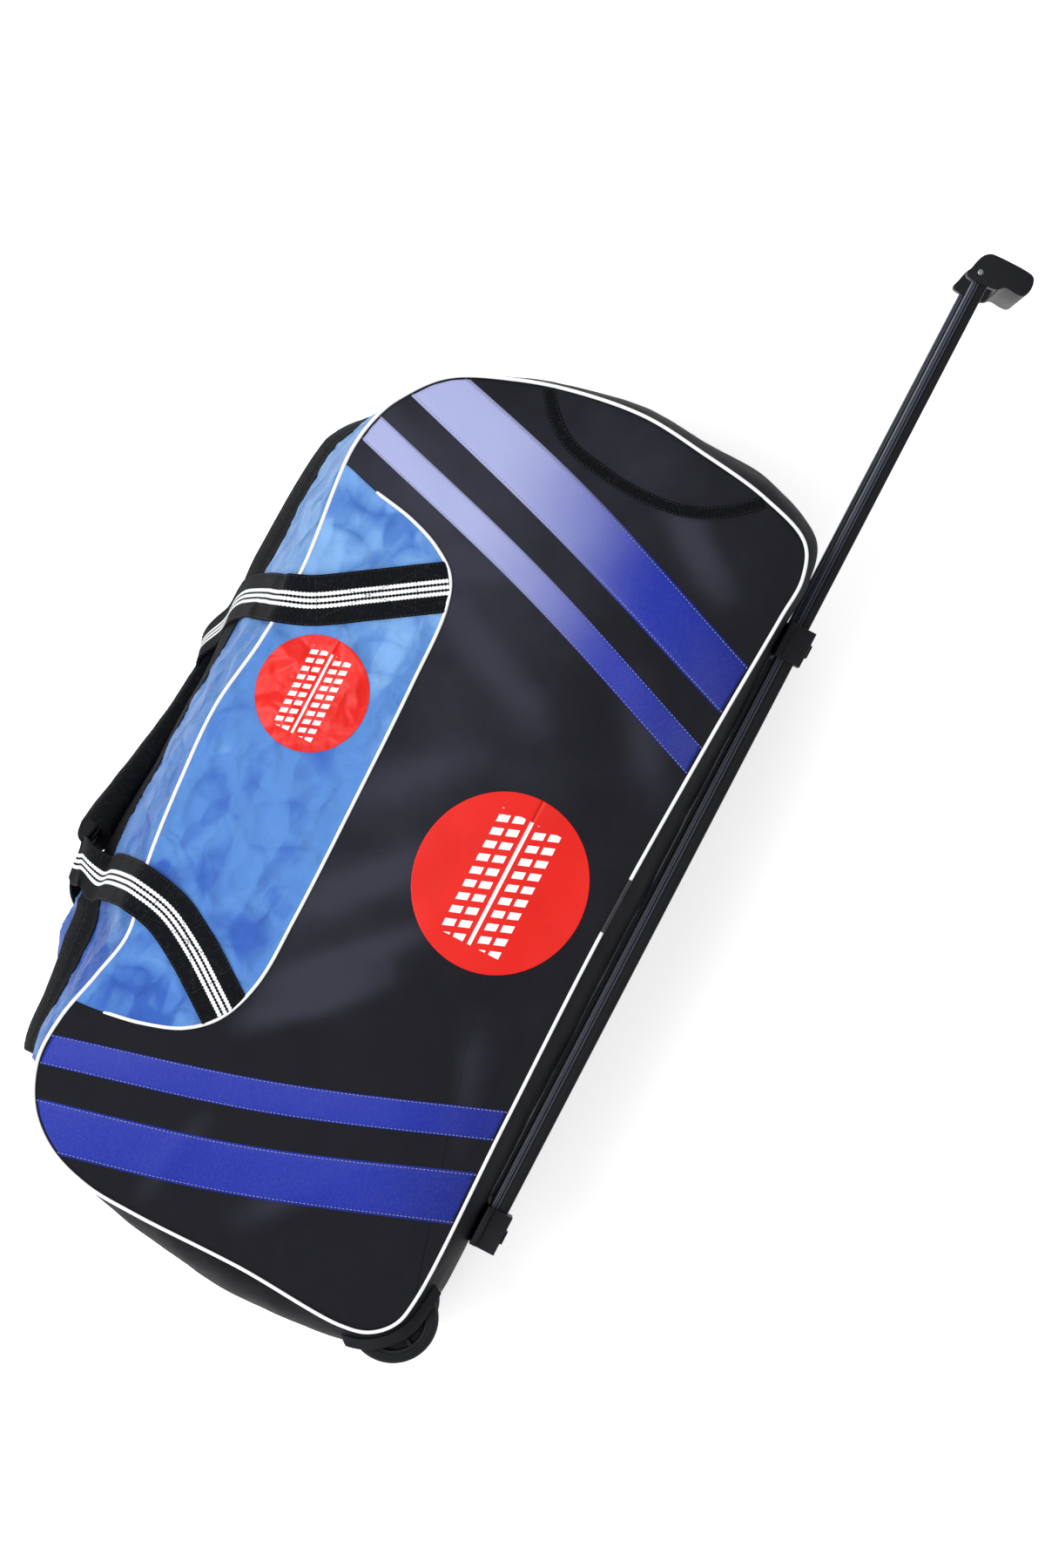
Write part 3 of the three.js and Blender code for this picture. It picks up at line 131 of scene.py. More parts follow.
# Sewn stripes: x of the two edges at the zip side, the middle and the base, as shares of half the length.
STRIPES = (
    ("stripe_handle_narrow", (0.686, 0.549, 0.374), (0.752, 0.615, 0.442)),
    ("stripe_handle_wide", (0.83, 0.689, 0.522), (0.94, 0.814, 0.641)),
    ("stripe_wheel_narrow", (-0.798, -0.671, -0.498), (-0.729, -0.599, -0.427)),
    ("stripe_wheel_wide", (-0.98, -0.862, -0.696), (-0.872, -0.748, -0.573)),
)
# Inner edge of the patch at the handle end, from the zip side to the base, as shares.
PATCH_EDGE = (
    (0.985, 0.38), (0.915, 0.26), (0.878, 0.15), (0.858, -0.04), (0.852, -0.22), (0.864, -0.43),
    (0.905, -0.6), (0.985, -0.78),
)
SLEEVE = (0.0, 0.119)
# Roundels: name, surface, centre as shares, half length and half height in millimetres.
ROUNDELS = (
    ("roundel_large", "front_panel_cloth", -0.0105, -0.47, 85.3, 81.3),
    ("roundel_small", "yoke_cloth", 0.161, 0.643, 54.6, 52.4),
)

# Carry handles. On the front panel: x, y as shares. Over the side: x, depth, slack.
# In the open: x, rise, aside and how far the webbing leans to the front and to the wheel end, in radians.
WRAP_START = (0.168, 0.44, -0.43)
WRAP_LINE = (
    (0.08, 0.467, -0.4), (0, 0.49, -0.37), (-0.138, 0.59, -0.29), (-0.23, 0.675, -0.21),
    (-0.28, 0.715, -0.17), (-0.33, 0.745, -0.1),
)
FRONT_HANDLE = (
    ("panel", ((0.508, 0.28), (0.484, 0.357), (0.4, 0.62), (0.335, 0.83))),
    ("side", ((0.311, 0.985, 0.1), (0.303, 0.86, 0.1), (0.285, 0.45, 0.3), (0.268, 0.2, 0.5))),
    ("open", ((0.25, 0.45, 0, 0.25), (0.205, 0.47, -0.17, 0.25), (0.14, 0.63, -0.33, 0.2)) + WRAP_LINE
     + ((-0.388, 0.71, 0.04, 0, 0.35), (-0.388, 0.65, 0.19, 0, 0.3))),
    ("side", ((-0.378, 0.32, 0.9), (-0.368, 0.5, 0.5), (-0.366, 0.8, 0.4), (-0.372, 0.985, 0.3))),
    ("panel", ((-0.388, 0.77), (-0.43, 0.6), (-0.5, 0.39), (-0.54, 0.28))),
)
BACK_HANDLE = (
    ("side", ((0.25, -0.96, 0.1), (0.248, -0.7, 0.1), (0.235, -0.52, 0.3))),
    ("open", ((0.218, 0.5, -0.45), WRAP_START) + WRAP_LINE + ((-0.38, 0.8, -0.08),)),
    ("side", ((-0.42, -0.34, 0.6), (-0.44, -0.6, 0.2), (-0.45, -0.96, 0.1))),
)
WRAP_ENDS = (0.163, -0.345)

# Grip seen from the side: shares of its reach along the rods and of its height across them.
GRIP_PROFILE = (
    (0, 0.25), (0.38, 0.235), (0.8, 0.165), (0.97, 0.06), (1, -0.06), (1, -0.56), (0.95, -0.7), (0.78, -0.76),
    (0.42, -0.765), (0.23, -0.7), (0.2, -0.58), (0.22, -0.4), (0.04, -0.28), (0, -0.16),
)


def length(name, text, default):
    return bpy.props.FloatProperty(name=name, description=text, default=default, min=0, unit="LENGTH")


# Thickness of the black cloth, of the coated blue cloth, of the stripes and of the prints.
CLOTH, COATED, BAND, PRINT = 1.5 * MM, 1.2 * MM, 0.5 * MM, 0.4 * MM
# Height of the little folds in the blue cloth, and how much too large it is when it settles.
RELIEF, SLACK = 1.5 * MM, 0.03
# How fast the crown falls to the seam and the bulge to its edges, and how soon hollows start inside the seam.
CROWN_FALL, BULGE_FALL, HOLLOW_START = 2.2, 5, 12
FOLD_RISE = 1.5 * MM
STEPS_PER_POINT = 40
RING_POINTS = 2000
# Relief of crumpled coated cloth: stretch of the pattern, its size in metres, its height and its number.
SOFT_PILLOWS = ((1, 0.7, 0.7), 0.07, 0.6, 0)
CRESTS = ((0.8, 1, 1), 0.075, 1.1, 4)
VALLEYS = ((1, 0.8, 0.8), 0.06, 1.1, 5)
FINE_CRESTS = ((1, 1, 1), 0.03, 0.25, 6)
def colour(name, text, hexadecimal):
    return bpy.props.FloatVectorProperty(
        name=name, description=text, default=linear(hexadecimal), size=4, subtype="COLOR", min=0, max=1)


def linear(hexadecimal):
    """A web colour as the linear numbers that shaders take."""
    parts = [int(hexadecimal[i:i + 2], 16) / 255 for i in (0, 2, 4)]
    return tuple(c / 12.92 if c <= 0.04045 else ((c + 0.055) / 1.055) ** 2.4 for c in parts) + (1.0,)


class BagSizes(bpy.types.PropertyGroup):
    """Sizes of the bag and its trims."""
    body_length: length("Body length", "Front seam, wheel end to handle end", 0.872)
    body_height: length("Body height", "Front seam, base to zip side", 0.42)
    body_depth: length("Body depth", "Back seam to front seam", 0.312)
    back_tuck: length("Back tuck", "Height of the back seam over the floor", 0.014)
    crown: length("Crown", "Rise of the front panel over its seam", 0.013)
    swell: length("Swell", "Fullest bulge of the base and the ends", 0.032)
    ridge: length("Ridge", "Highest rise of the zip side past the seams", 0.064)
    dent: length("Dent", "Deepest hollow in the front panel", 0.005)
    piping: length("Piping", "Radius of the seam cords", 0.0017)
    webbing_width: length("Webbing width", "Width of the handle webbing", 0.047)
    webbing: length("Webbing", "Thickness of the handle webbing", 0.0022)
    wrap_width: length("Wrap width", "Width of the padded wrap", 0.06)
    wrap_thickness: length("Wrap thickness", "Thickness of the padded wrap", 0.022)
    stripe_inset: length("Stripe inset", "From the seam to the end of a stripe", 0.003)
    tape_width: length("Tape width", "Width of the tape round the end patch", 0.011)
    tyre_radius: length("Tyre radius", "Radius of the tyres", 0.0423)
    stitch: length("Stitch", "From one stitch to the next", 0.0036)
    tooth: length("Tooth", "From one zip tooth to the next", 0.0022)


class BagColours(bpy.types.PropertyGroup):
    """Colours of the bag and its trims."""
    black_cloth: colour("Black cloth", "Coated black cloth of the body", "0b0c13")
    # Paler tint of the black cloth: random paler patches, and painted light towards the zip side, towards the
    # handle end and along the folds.
    black_pale_and_lit: colour("Pale and lit black", "The same cloth in paler random patches and where light is painted on it", "2c2d3a")
    # The same cloth as the front, kept at its dark tint without the paler one: painted shade on the sides and the
    # back.
    black_side_shade: colour("Black side", "Coated black cloth of the sides and the back", "0c0d13")
    blue_cloth: colour("Blue cloth", "Coated blue cloth of the yoke and the zip side", "5587cc")
    # Painted shade in the blue cloth's folds and painted highlight on its crests.
    blue_fold_shade: colour("Blue fold shade", "Painted shade in the folds of the same cloth", "2a54b0")
    blue_highlight: colour("Blue highlight", "Painted highlight on the crests of the same cloth", "86b4e8")
    stripe_deep: colour("Stripe", "Satin stripes", "0b228f")
    # Painted reflection on the stripes at the handle end.
    stripe_pale: colour("Pale stripe", "Satin stripes where the light lies along them", "959bc4")
    red: colour("Red", "Printed roundels", "cf1c14")
    white: colour("White", "Cord, print and thread", "e6e7ea")
    webbing: colour("Webbing", "Black webbing and tapes", "0d0e12")
    plastic: colour("Plastic", "Moulded black plastic", "0e0f14")
    metal: colour("Metal", "Anodised tubes and rods", "0d0e13")
    # Painted highlight on the ridges of the rods.
    rod_highlight: colour("Rod highlight", "Painted highlight on the ridges of the rods", "4c5163")
    steel: colour("Steel", "Bare steel", "8e9198")
    # The coil's own colour, made paler than the tapes as a painted highlight.
    lit_zip_coil: colour("Zip coil", "Teeth of the zip", "3f414a")
    thread: colour("Thread", "Pale thread of the bands", "8f93a8")
    rubber: colour("Rubber", "Tyres", "131418")
    floor: colour("Floor", "Floor of the stage", "ffffff")


# Curves

class Path:
    """A smooth line through rows of points, read at shares from 0 to 1 of its rows."""

    def __init__(self, points, closed=False):
        p = np.asarray(points, float)
        self.closed = closed
        self.spans = len(p) if closed else len(p) - 1
        if closed:
            self.rows = np.vstack([p[-1:], p, p[:2]])
        else:
            self.rows = np.vstack([2 * p[:1] - p[1:2], p, 2 * p[-1:] - p[-2:-1]])

    def at(self, share):
        """Points of the line."""
        t = np.atleast_1d(np.asarray(share, float))
        t = (t % 1 if self.closed else np.clip(t, 0, 1)) * self.spans
        i = np.minimum(t.astype(int), self.spans - 1)
        s = (t - i)[:, None]
        p0, p1, p2, p3 = (self.rows[i + k] for k in range(4))
        steps = ((p0, p1), (p1, p2), (p2, p3))
        d0, d1, d2 = (np.maximum(np.sqrt(np.linalg.norm(b - a, axis=1)), 1e-5)[:, None] for a, b in steps)
        m1 = ((p1 - p0) / d0 - (p2 - p0) / (d0 + d1) + (p2 - p1) / d1) * d1
        m2 = ((p2 - p1) / d1 - (p3 - p1) / (d1 + d2) + (p3 - p2) / d2) * d1
        start = (2 * s**3 - 3 * s**2 + 1) * p1 + (s**3 - 2 * s**2 + s) * m1
        return start + (3 * s**2 - 2 * s**3) * p2 + (s**3 - s**2) * m2

    def along(self, share, step=1e-4):
        """Directions of the line."""
        t = np.atleast_1d(np.asarray(share, float))
        after, before = t + step, t - step
        if not self.closed:
            after, before = np.minimum(after, 1), np.maximum(before, 0)
        return unit(self.at(after) - self.at(before))

    def even(self, count):
        """Shares whose points are evenly spaced along the line."""
        fine = np.linspace(0, 1, STEPS_PER_POINT * count)
        run = run_of(self.at(fine))
        return np.interp(np.linspace(0, run[-1], count), run, fine)


def unit(vectors):
    """Vectors at length 1."""
    v = np.asarray(vectors, float)
    return v / np.maximum(np.linalg.norm(v, axis=-1, keepdims=True), 1e-12)


def run_of(points):
    """Distance along a line of points."""
    return np.concatenate([[0], np.cumsum(np.linalg.norm(np.diff(points, axis=0), axis=1))])


def shaded(tint, share, more=0.0):
    """A colour times a share, and lighter by an amount."""
    return tuple(min(1, share * c + more) for c in tint[:3]) + (1,)


def through(stops, step):
    """Values that pass through every stop, about a step apart."""
    parts = []
    for a, b in zip(stops, stops[1:]):
        count = max(2, int(math.ceil(abs(b - a) / step)) + 1)
        parts.append(np.linspace(a, b, count)[:-1])
    return np.concatenate(parts + [[stops[-1]]])


def ramp(values, low, high):
    """0 below low, 1 above high, smooth between."""
    t = np.clip((np.asarray(values, float) - low) / (high - low), 0, 1)
    return t * t * (3 - 2 * t)


def crumple(points, scale, seed, octaves=3):
    """Soft random relief from -1 to 1 over points."""
    shift = Vector((seed * 7.3, seed * 3.1, seed * 1.7))
    flat = np.asarray(points, float).reshape(-1, 3) / scale
    values = [noise.fractal(Vector(p) + shift, 1.0, 2.1, octaves) for p in flat]
    return np.array(values).reshape(np.asarray(points).shape[:-1])


def creases(points, scale, seed):
    """Sharp little ridges, as in stiff coated cloth, from 0 to 1."""
    return 1 - np.clip(np.abs(crumple(points, scale, seed, 2)) * 2.6, 0, 1) ** 0.6


def crinkled(points, seed):
    """Relief of crumpled coated cloth, about -1 to 1: soft pillows with sharp crests and sharp valleys."""

    def layer(kind, stretch, size, rise, number):
        return kind(points * stretch, size, seed + number) * rise

    sharp = layer(creases, *CRESTS) - layer(creases, *VALLEYS)
    return layer(crumple, *SOFT_PILLOWS) + sharp + layer(creases, *FINE_CRESTS)


# The body

class Body:
    """The smooth body of the bag, in metres: its front seam, its gusset and its front panel."""

    def __init__(self, size):
        self.size = size
        self.half = np.array([size.body_length, size.body_height, size.body_depth]) / 2
        self.middle = size.back_tuck + self.half[2]
        self.front = size.back_tuck + size.body_depth
        self.outline = Path([(row[1] * self.half[0], row[2] * self.half[1]) for row in OUTLINE], closed=True)
        self.bulge = Path([row[3:] for row in OUTLINE], closed=True)
        self.rises = [Path(rows).at(np.linspace(0, 1, 400))[::-1] for rows in (RIDGE_PROFILE, STEEP_PROFILE)]
        ring, _ = self.seam(np.linspace(0, 1, RING_POINTS, endpoint=False))
        turn = np.arctan2(ring[:, 1], ring[:, 0])
        order = np.argsort(turn)
        self.turn, self.reach = turn[order], np.linalg.norm(ring, axis=1)[order]
        self.ring = ring

    def mark(self, name):
        """Share of the seam at which a named row of its table lies."""
        return [row[0] for row in OUTLINE].index(name) / len(OUTLINE)

    def seam(self, u):
        """Flat points of the front seam, and its directions outward."""
        along = self.outline.along(u)
        return self.outline.at(u), np.stack([along[:, 1], -along[:, 0]], 1)

    def reach_out(self, u, depth):
        """How far the gusset stands past the seam."""
        swell, ridge, steep = np.clip(self.bulge.at(u), 0, 1).T
        soft, sharp = (np.interp(depth, rise[:, 0], rise[:, 1]) for rise in self.rises)
        end = self.mark("zip wheel end")
        ridge = ridge * (1 - ramp(u, end + ZIP_END_FALL[0], end + ZIP_END_FALL[1]))
        rise = soft + (sharp - soft) * steep
        return swell * self.size.swell * (1 - np.abs(depth) ** BULGE_FALL) + ridge * self.size.ridge * rise

    def gusset(self, u, depth):
        """Points of the smooth gusset; depth runs from 1 at the front seam to -1 at the back seam."""
        u, depth = np.broadcast_arrays(np.atleast_1d(u).astype(float), np.atleast_1d(depth).astype(float))
        place, out = self.seam(u.ravel())
        flat = place + out * self.reach_out(u.ravel(), depth.ravel())[:, None]
        return np.column_stack([flat, self.middle + depth.ravel() * self.half[2]]).reshape(*u.shape, 3)

    def facing(self, u, depth, step=0.02):
        """Outward normal of the gusset."""
        u, depth = np.broadcast_arrays(np.atleast_1d(u).astype(float), np.atleast_1d(depth).astype(float))
        high, low = np.minimum(depth + step, 1), np.maximum(depth - step, -1)
        across = self.gusset(u, low) - self.gusset(u, high)
        return unit(np.cross(self.gusset(u - 1e-3, depth) - self.gusset(u + 1e-3, depth), across) * -1)

    def share(self, x, y):
        """How far out a point of the front lies: 0 in the middle, 1 on the seam."""
        reach = np.interp(np.arctan2(y, x), self.turn, self.reach, period=2 * math.pi)
        return np.hypot(x, y) / reach

    def height(self, x, y):
        """Height of the front panel."""
        x, y = np.asarray(x, float), np.asarray(y, float)
        share = np.clip(self.share(x, y), 0, 1)
        hollow = sum(
            depth * np.exp(-(((x / self.half[0] - cx) / rx) ** 2) - ((y / self.half[1] - cy) / ry) ** 2)
            for cx, cy, rx, ry, depth in DENTS
        )
        edge = np.minimum(1, (1 - share) * HOLLOW_START)
        folds = sum(self.fold(x, y, row) for row in FOLDS)
        relief = crumple(np.stack([x, y, 0 * x], -1), 0.11, 3) * 0.9 * MM
        crown = self.size.crown * (1 - share**CROWN_FALL)
        return self.front + crown + edge * (folds + relief - hollow * self.size.dent)

    def fold(self, x, y, row):
        """Height of one soft fold of the front, from its row."""
        a = np.array(row[:2]) * self.half[:2]
        b = np.array(row[2:4]) * self.half[:2]
        d = b - a
        t = np.clip(((x - a[0]) * d[0] + (y - a[1]) * d[1]) / (d @ d), 0, 1)
        off = np.hypot(x - a[0] - t * d[0], y - a[1] - t * d[1])
        return row[5] * FOLD_RISE * np.exp(-((off / (row[4] * MM)) ** 2)) * np.sin(np.pi * (0.15 + 0.7 * t))

    def place_on(self, side, x):
        """The share of the seam, on the base or the zip side, where it reaches an x."""
        ends = {"base": ("base wheel end", "base handle end"), "zip": ("handle shoulder", "wheel shoulder")}
        start, end = (self.mark(name) for name in ends[side])
        u = np.linspace(start, end, 4000)
        xs = self.outline.at(u)[:, 0]
        order = np.argsort(xs)
        return np.interp(x, xs[order], u[order])


def moved(line, distance):
    """A flat line moved to the left of its direction."""
    along = unit(np.gradient(line, axis=0))
    return line + distance * np.stack([-along[:, 1], along[:, 0]], 1)


def within(points, line):
    """Which flat points lie inside a closed flat line."""
    x, y = points[..., 0], points[..., 1]
    inside = np.zeros(x.shape, bool)
    for (x0, y0), (x1, y1) in zip(line, np.roll(line, -1, axis=0)):
        crosses = (y0 > y) != (y1 > y)
        at = x0 + (y - y0) * (x1 - x0) / np.where(y1 == y0, 1e-12, y1 - y0)
        inside ^= crosses & (x < at)
    return inside


# Meshes

def new_piece(name, vertices, faces, uv=None, smooth=True):
    """An object from points and faces, with a UV map of a pair for each point."""
    mesh = bpy.data.meshes.new(name)
    corners = [tuple(v) for v in np.asarray(vertices, float)]
    mesh.from_pydata(corners, [], [tuple(int(i) for i in face) for face in faces])
    mesh.validate()
    mesh.polygons.foreach_set("use_smooth", [smooth] * len(mesh.polygons))
    piece = placed(name, mesh)
    if uv is not None:
        layer = mesh.uv_layers.new(name="cloth")
        points = np.empty(len(mesh.loops), int)
        mesh.loops.foreach_get("vertex_index", points)
        layer.data.foreach_set("uv", np.asarray(uv, float)[points].ravel())
    return piece


def attribute(piece, name, values):
    data = piece.data.attributes.new(name, "FLOAT", "POINT")
    data.data.foreach_set("value", np.asarray(values, np.float32).ravel())


def grid_faces(rows, columns, ring=False):
    """Faces of a grid of points that is numbered row by row; a ring closes each row."""
    faces = []
    for i in range(rows - 1):
        for j in range(columns if ring else columns - 1):
            k = (j + 1) % columns
            faces.append((i * columns + j, i * columns + k, (i + 1) * columns + k, (i + 1) * columns + j))
    return faces


def sheet(name, points, uv=None, keep=None, fold=None):
    """A piece from a grid of points, facing outwards, without the faces that keep refuses."""
    rows, columns = points.shape[:2]
    faces = grid_faces(rows, columns)
    flat = points.reshape(-1, 3)
    if keep is not None:
        middles = flat[np.array(faces)].mean(1)
        faces = [f for f, ok in zip(faces, keep(middles)) if ok]
    piece = new_piece(name, flat, faces, None if uv is None else uv.reshape(-1, 2))
    if fold is not None:
        attribute(piece, "fold", fold)
    bm = bmesh.new()
    bm.from_mesh(piece.data)
    bmesh.ops.delete(bm, geom=[v for v in bm.verts if not v.link_faces], context="VERTS")
    bmesh.ops.dissolve_degenerate(bm, dist=1e-6, edges=bm.edges)
    bm.normal_update()
    middle = Vector((0, 0, MIDDLE_HEIGHT))
    if sum(f.normal.dot(f.calc_center_median() - middle) * f.calc_area() for f in bm.faces) < 0:
        bmesh.ops.reverse_faces(bm, faces=bm.faces)
    bm.to_mesh(piece.data)
    bm.free()
    return piece


def swept(name, points, ups, profile, closed=False):
    """A bar of one section along points; ups give the way that the section's second axis faces."""
    points, ups, profile = np.asarray(points), np.asarray(ups), np.asarray(profile)
    if closed:
        along = unit(np.roll(points, -1, axis=0) - np.roll(points, 1, axis=0))
    else:
        along = unit(np.gradient(points, axis=0))
    across = unit(np.cross(along, ups))
    up = np.cross(across, along)
    rings = points[:, None] + profile[None, :, :1] * across[:, None] + profile[None, :, 1:] * up[:, None]
    count, sides = rings.shape[:2]
    rows = np.concatenate([rings, rings[:1]]) if closed else rings
    run = run_of(rows[:, 0])
    faces = grid_faces(count, sides, ring=True)
    if closed:
        last = (count - 1) * sides
        faces += [(last + j, last + (j + 1) % sides, (j + 1) % sides, j) for j in range(sides)]
    else:
        faces += [tuple(range(sides))[::-1], tuple(range((count - 1) * sides, count * sides))]
    around = np.linspace(0, 1, sides, endpoint=False)
    uv = np.stack(np.meshgrid(run[:count], around, indexing="ij"), -1).reshape(-1, 2)
    piece = new_piece(name, rings.reshape(-1, 3), faces, uv)
    outward(piece)
    return piece


def outward(piece):
    bm = bmesh.new()
    bm.from_mesh(piece.data)
    bmesh.ops.recalc_face_normals(bm, faces=bm.faces)
    bm.to_mesh(piece.data)
    bm.free()


def placed(name, mesh):
    """An object of a mesh, in the scene."""
    piece = bpy.data.objects.new(name, mesh)
    bpy.context.scene.collection.objects.link(piece)
    return piece


def smoothed(piece, sharp=None):
    """Smooth shading, but for edges sharper than an angle in degrees."""
    piece.data.polygons.foreach_set("use_smooth", [True] * len(piece.data.polygons))
    if sharp is not None:
        piece.data.set_sharp_from_angle(angle=math.radians(sharp))
    return piece


def prism(name, outline, low, high):
    """A closed flat outline drawn out along Z."""
    outline = np.asarray(outline, float)
    count = len(outline)
    ends = [np.column_stack([outline, np.full(count, level)]) for level in (low, high)]
    faces = [tuple(range(count))[::-1], tuple(range(count, 2 * count))]
    faces += [(i, (i + 1) % count, count + (i + 1) % count, count + i) for i in range(count)]
    piece = new_piece(name, np.vstack(ends), faces, smooth=False)
    outward(piece)
    return piece


def disc(name, centre, radius, low, high, sides=96):
    """A round plate about Z."""
    return prism(name, np.array(centre) + circle(radius, sides), low, high)


def turned(name, profile, centre, low, sides):
    """A round piece about Z from a closed profile of (radius, height)."""
    turn = np.linspace(0, 2 * math.pi, sides, endpoint=False)
    rings = np.array([
        [(centre[0] + r * math.cos(a), centre[1] + r * math.sin(a), low + h) for r, h in profile] for a in turn
    ])
    count = len(profile)
    faces = grid_faces(sides, count, ring=True)
    last = (sides - 1) * count
    faces += [(last + j, last + (j + 1) % count, (j + 1) % count, j) for j in range(count)]
    piece = new_piece(name, rings.reshape(-1, 3), faces)
    outward(piece)
    return piece


def wall(piece, amount):
    """Gives an open sheet a thickness inwards."""
    solid = piece.modifiers.new("wall", "SOLIDIFY")
    solid.thickness = amount
    solid.offset = -1
    solid.use_even_offset = False
    return piece


def applied(piece):
    """Turns a piece's modifiers into its mesh."""
    graph = bpy.context.evaluated_depsgraph_get()
    mesh = bpy.data.meshes.new_from_object(piece.evaluated_get(graph))
    piece.modifiers.clear()
    piece.data = mesh
    return piece


def joined(name, *pieces):
    """One piece from several closed ones, which may touch."""
    bm = bmesh.new()
    for one in pieces:
        bm.from_mesh(applied(one).data)
        bpy.data.objects.remove(one)
    mesh = bpy.data.meshes.new(name)
    bm.to_mesh(mesh)
    bm.free()
    return placed(name, mesh)


def cut(piece, *cutters, operation="DIFFERENCE"):
    """Takes the cutters from a piece, or keeps what it shares with them."""
    for cutter in cutters:
        change = piece.modifiers.new("cut", "BOOLEAN")
        change.operation = operation
        change.solver = "EXACT"
        change.object = cutter
        applied(piece)
        bpy.data.objects.remove(cutter)
    return piece


def bevelled(piece, width, segments, angle):
    """Rounds the edges that are sharper than an angle in degrees."""
    bevel = piece.modifiers.new("edges", "BEVEL")
    bevel.width = width
    bevel.segments = segments
    bevel.limit_method = "ANGLE"
    bevel.angle_limit = math.radians(angle)
    bevel.harden_normals = False
    return applied(piece)


def softened(piece, width, segments=3, angle=30):
    """Rounds the edges of a hard piece."""
    bm = bmesh.new()
    bm.from_mesh(piece.data)
    bmesh.ops.remove_doubles(bm, verts=bm.verts, dist=1e-6)
    bmesh.ops.dissolve_limit(bm, angle_limit=math.radians(1), verts=bm.verts, edges=bm.edges)
    bm.to_mesh(piece.data)
    bm.free()
    return smoothed(bevelled(piece, width, segments, angle), 40)


def copy_of(node, name):
    """A copy of one of the solids."""
    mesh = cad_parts[node].data.copy()
    mesh.materials.clear()
    return placed(name, mesh)


def finished(piece, finish, body, slot, *nodes):
    """Gives a piece its material, hangs it under the empty of the body that it moves with, and hides the solids
    that it replaces.
    """
    piece.data.materials.clear()
    piece.data.materials.append(finish)
    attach(piece, body)
    if nodes:
        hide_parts(*nodes)
    return piece


def surface(name):
    """What rays can hit: a finished piece."""
    graph = bpy.context.evaluated_depsgraph_get()
    mesh = bpy.data.objects[name].evaluated_get(graph).to_mesh()
    return BVHTree.FromPolygons([v.co.copy() for v in mesh.vertices], [list(p.vertices) for p in mesh.polygons])


def dropped(tree, points, lift, direction=(0, 0, -1), reach=0.06):
    """Points laid on a surface along a direction, and lifted off it; those that miss it stay."""
    points = np.array(points, float)
    way = np.broadcast_to(np.asarray(direction, float), points.shape)
    for i, (p, d) in enumerate(zip(points, way)):
        d = Vector(d)
        hit, _, _, _ = tree.ray_cast(Vector(p) - d * reach, d, 2 * reach)
        if hit is not None:
            points[i] = hit - d * lift
    return points


def settled(piece, growth, cap, frames=16, push=0.0):
    """Lets a sheet with a held rim settle as cloth a little too large for it; cap limits each point."""
    scene = bpy.context.scene
    rest = np.array([v.co for v in piece.data.vertices])
    cloth = piece.modifiers.new("Cloth", "CLOTH")
    settings = cloth.settings
    settings.quality = 4
    settings.mass = 0.2
    settings.tension_stiffness = 25
    settings.compression_stiffness = 25
    settings.shear_stiffness = 10
    settings.bending_stiffness = 0.08
    settings.shrink_min = -growth
    settings.effector_weights.gravity = 0
    settings.use_pressure = push != 0
    settings.uniform_pressure_force = push
    settings.vertex_group_mass = "rim"
    cloth.point_cache.frame_start = 1
    cloth.point_cache.frame_end = frames
    for number in range(1, frames + 1):
        scene.frame_set(number)
    graph = bpy.context.evaluated_depsgraph_get()
    now = np.array([v.co for v in piece.evaluated_get(graph).data.vertices])
    scene.frame_set(1)
    piece.modifiers.remove(cloth)
    shift = now - rest
    reach = np.linalg.norm(shift, axis=1, keepdims=True)
    shift *= np.minimum(1, np.asarray(cap).reshape(-1, 1) / np.maximum(reach, 1e-9))
    piece.data.vertices.foreach_set("co", (rest + shift).ravel())
    piece.data.update()
    return piece


def hold_rim(piece, shape):
    """Holds the edge of a sheet made from a grid of this shape."""
    hold = np.ones(shape, bool)
    hold[1:-1, 1:-1] = False
    group = piece.vertex_groups.new(name="rim")
    group.add([int(i) for i in np.flatnonzero(hold)], 1.0, "REPLACE")


# Shader maths

# Pitches of the weaves, the ribs and the threads, in metres.
PLAIN_WEAVE, SIDE_WEAVE, COATED_WEAVE, TWILL = 1.2 * MM, 1.4 * MM, 1.1 * MM, 1.6 * MM
RIB, THREAD = 2.6 * MM, 1.1 * MM
# White lines of the webbing: their places across it, half their width at the waists and at the scallops, and
# the length of a scallop.
LINE_PLACES = (-5.6 * MM, 0.0, 5.6 * MM)
LINE_WAIST, LINE_BULGE, SCALLOP = 1.1 * MM, 0.9 * MM, 3.6 * MM
# Printed seam, as shares of a roundel's radius: half its length and line, middles and half width of its rows.
SEAM_HALF, SEAM_LINE = 0.74, 0.022
SEAM_ROWS, SEAM_ROW_HALF = (0.14, 0.31), 0.062
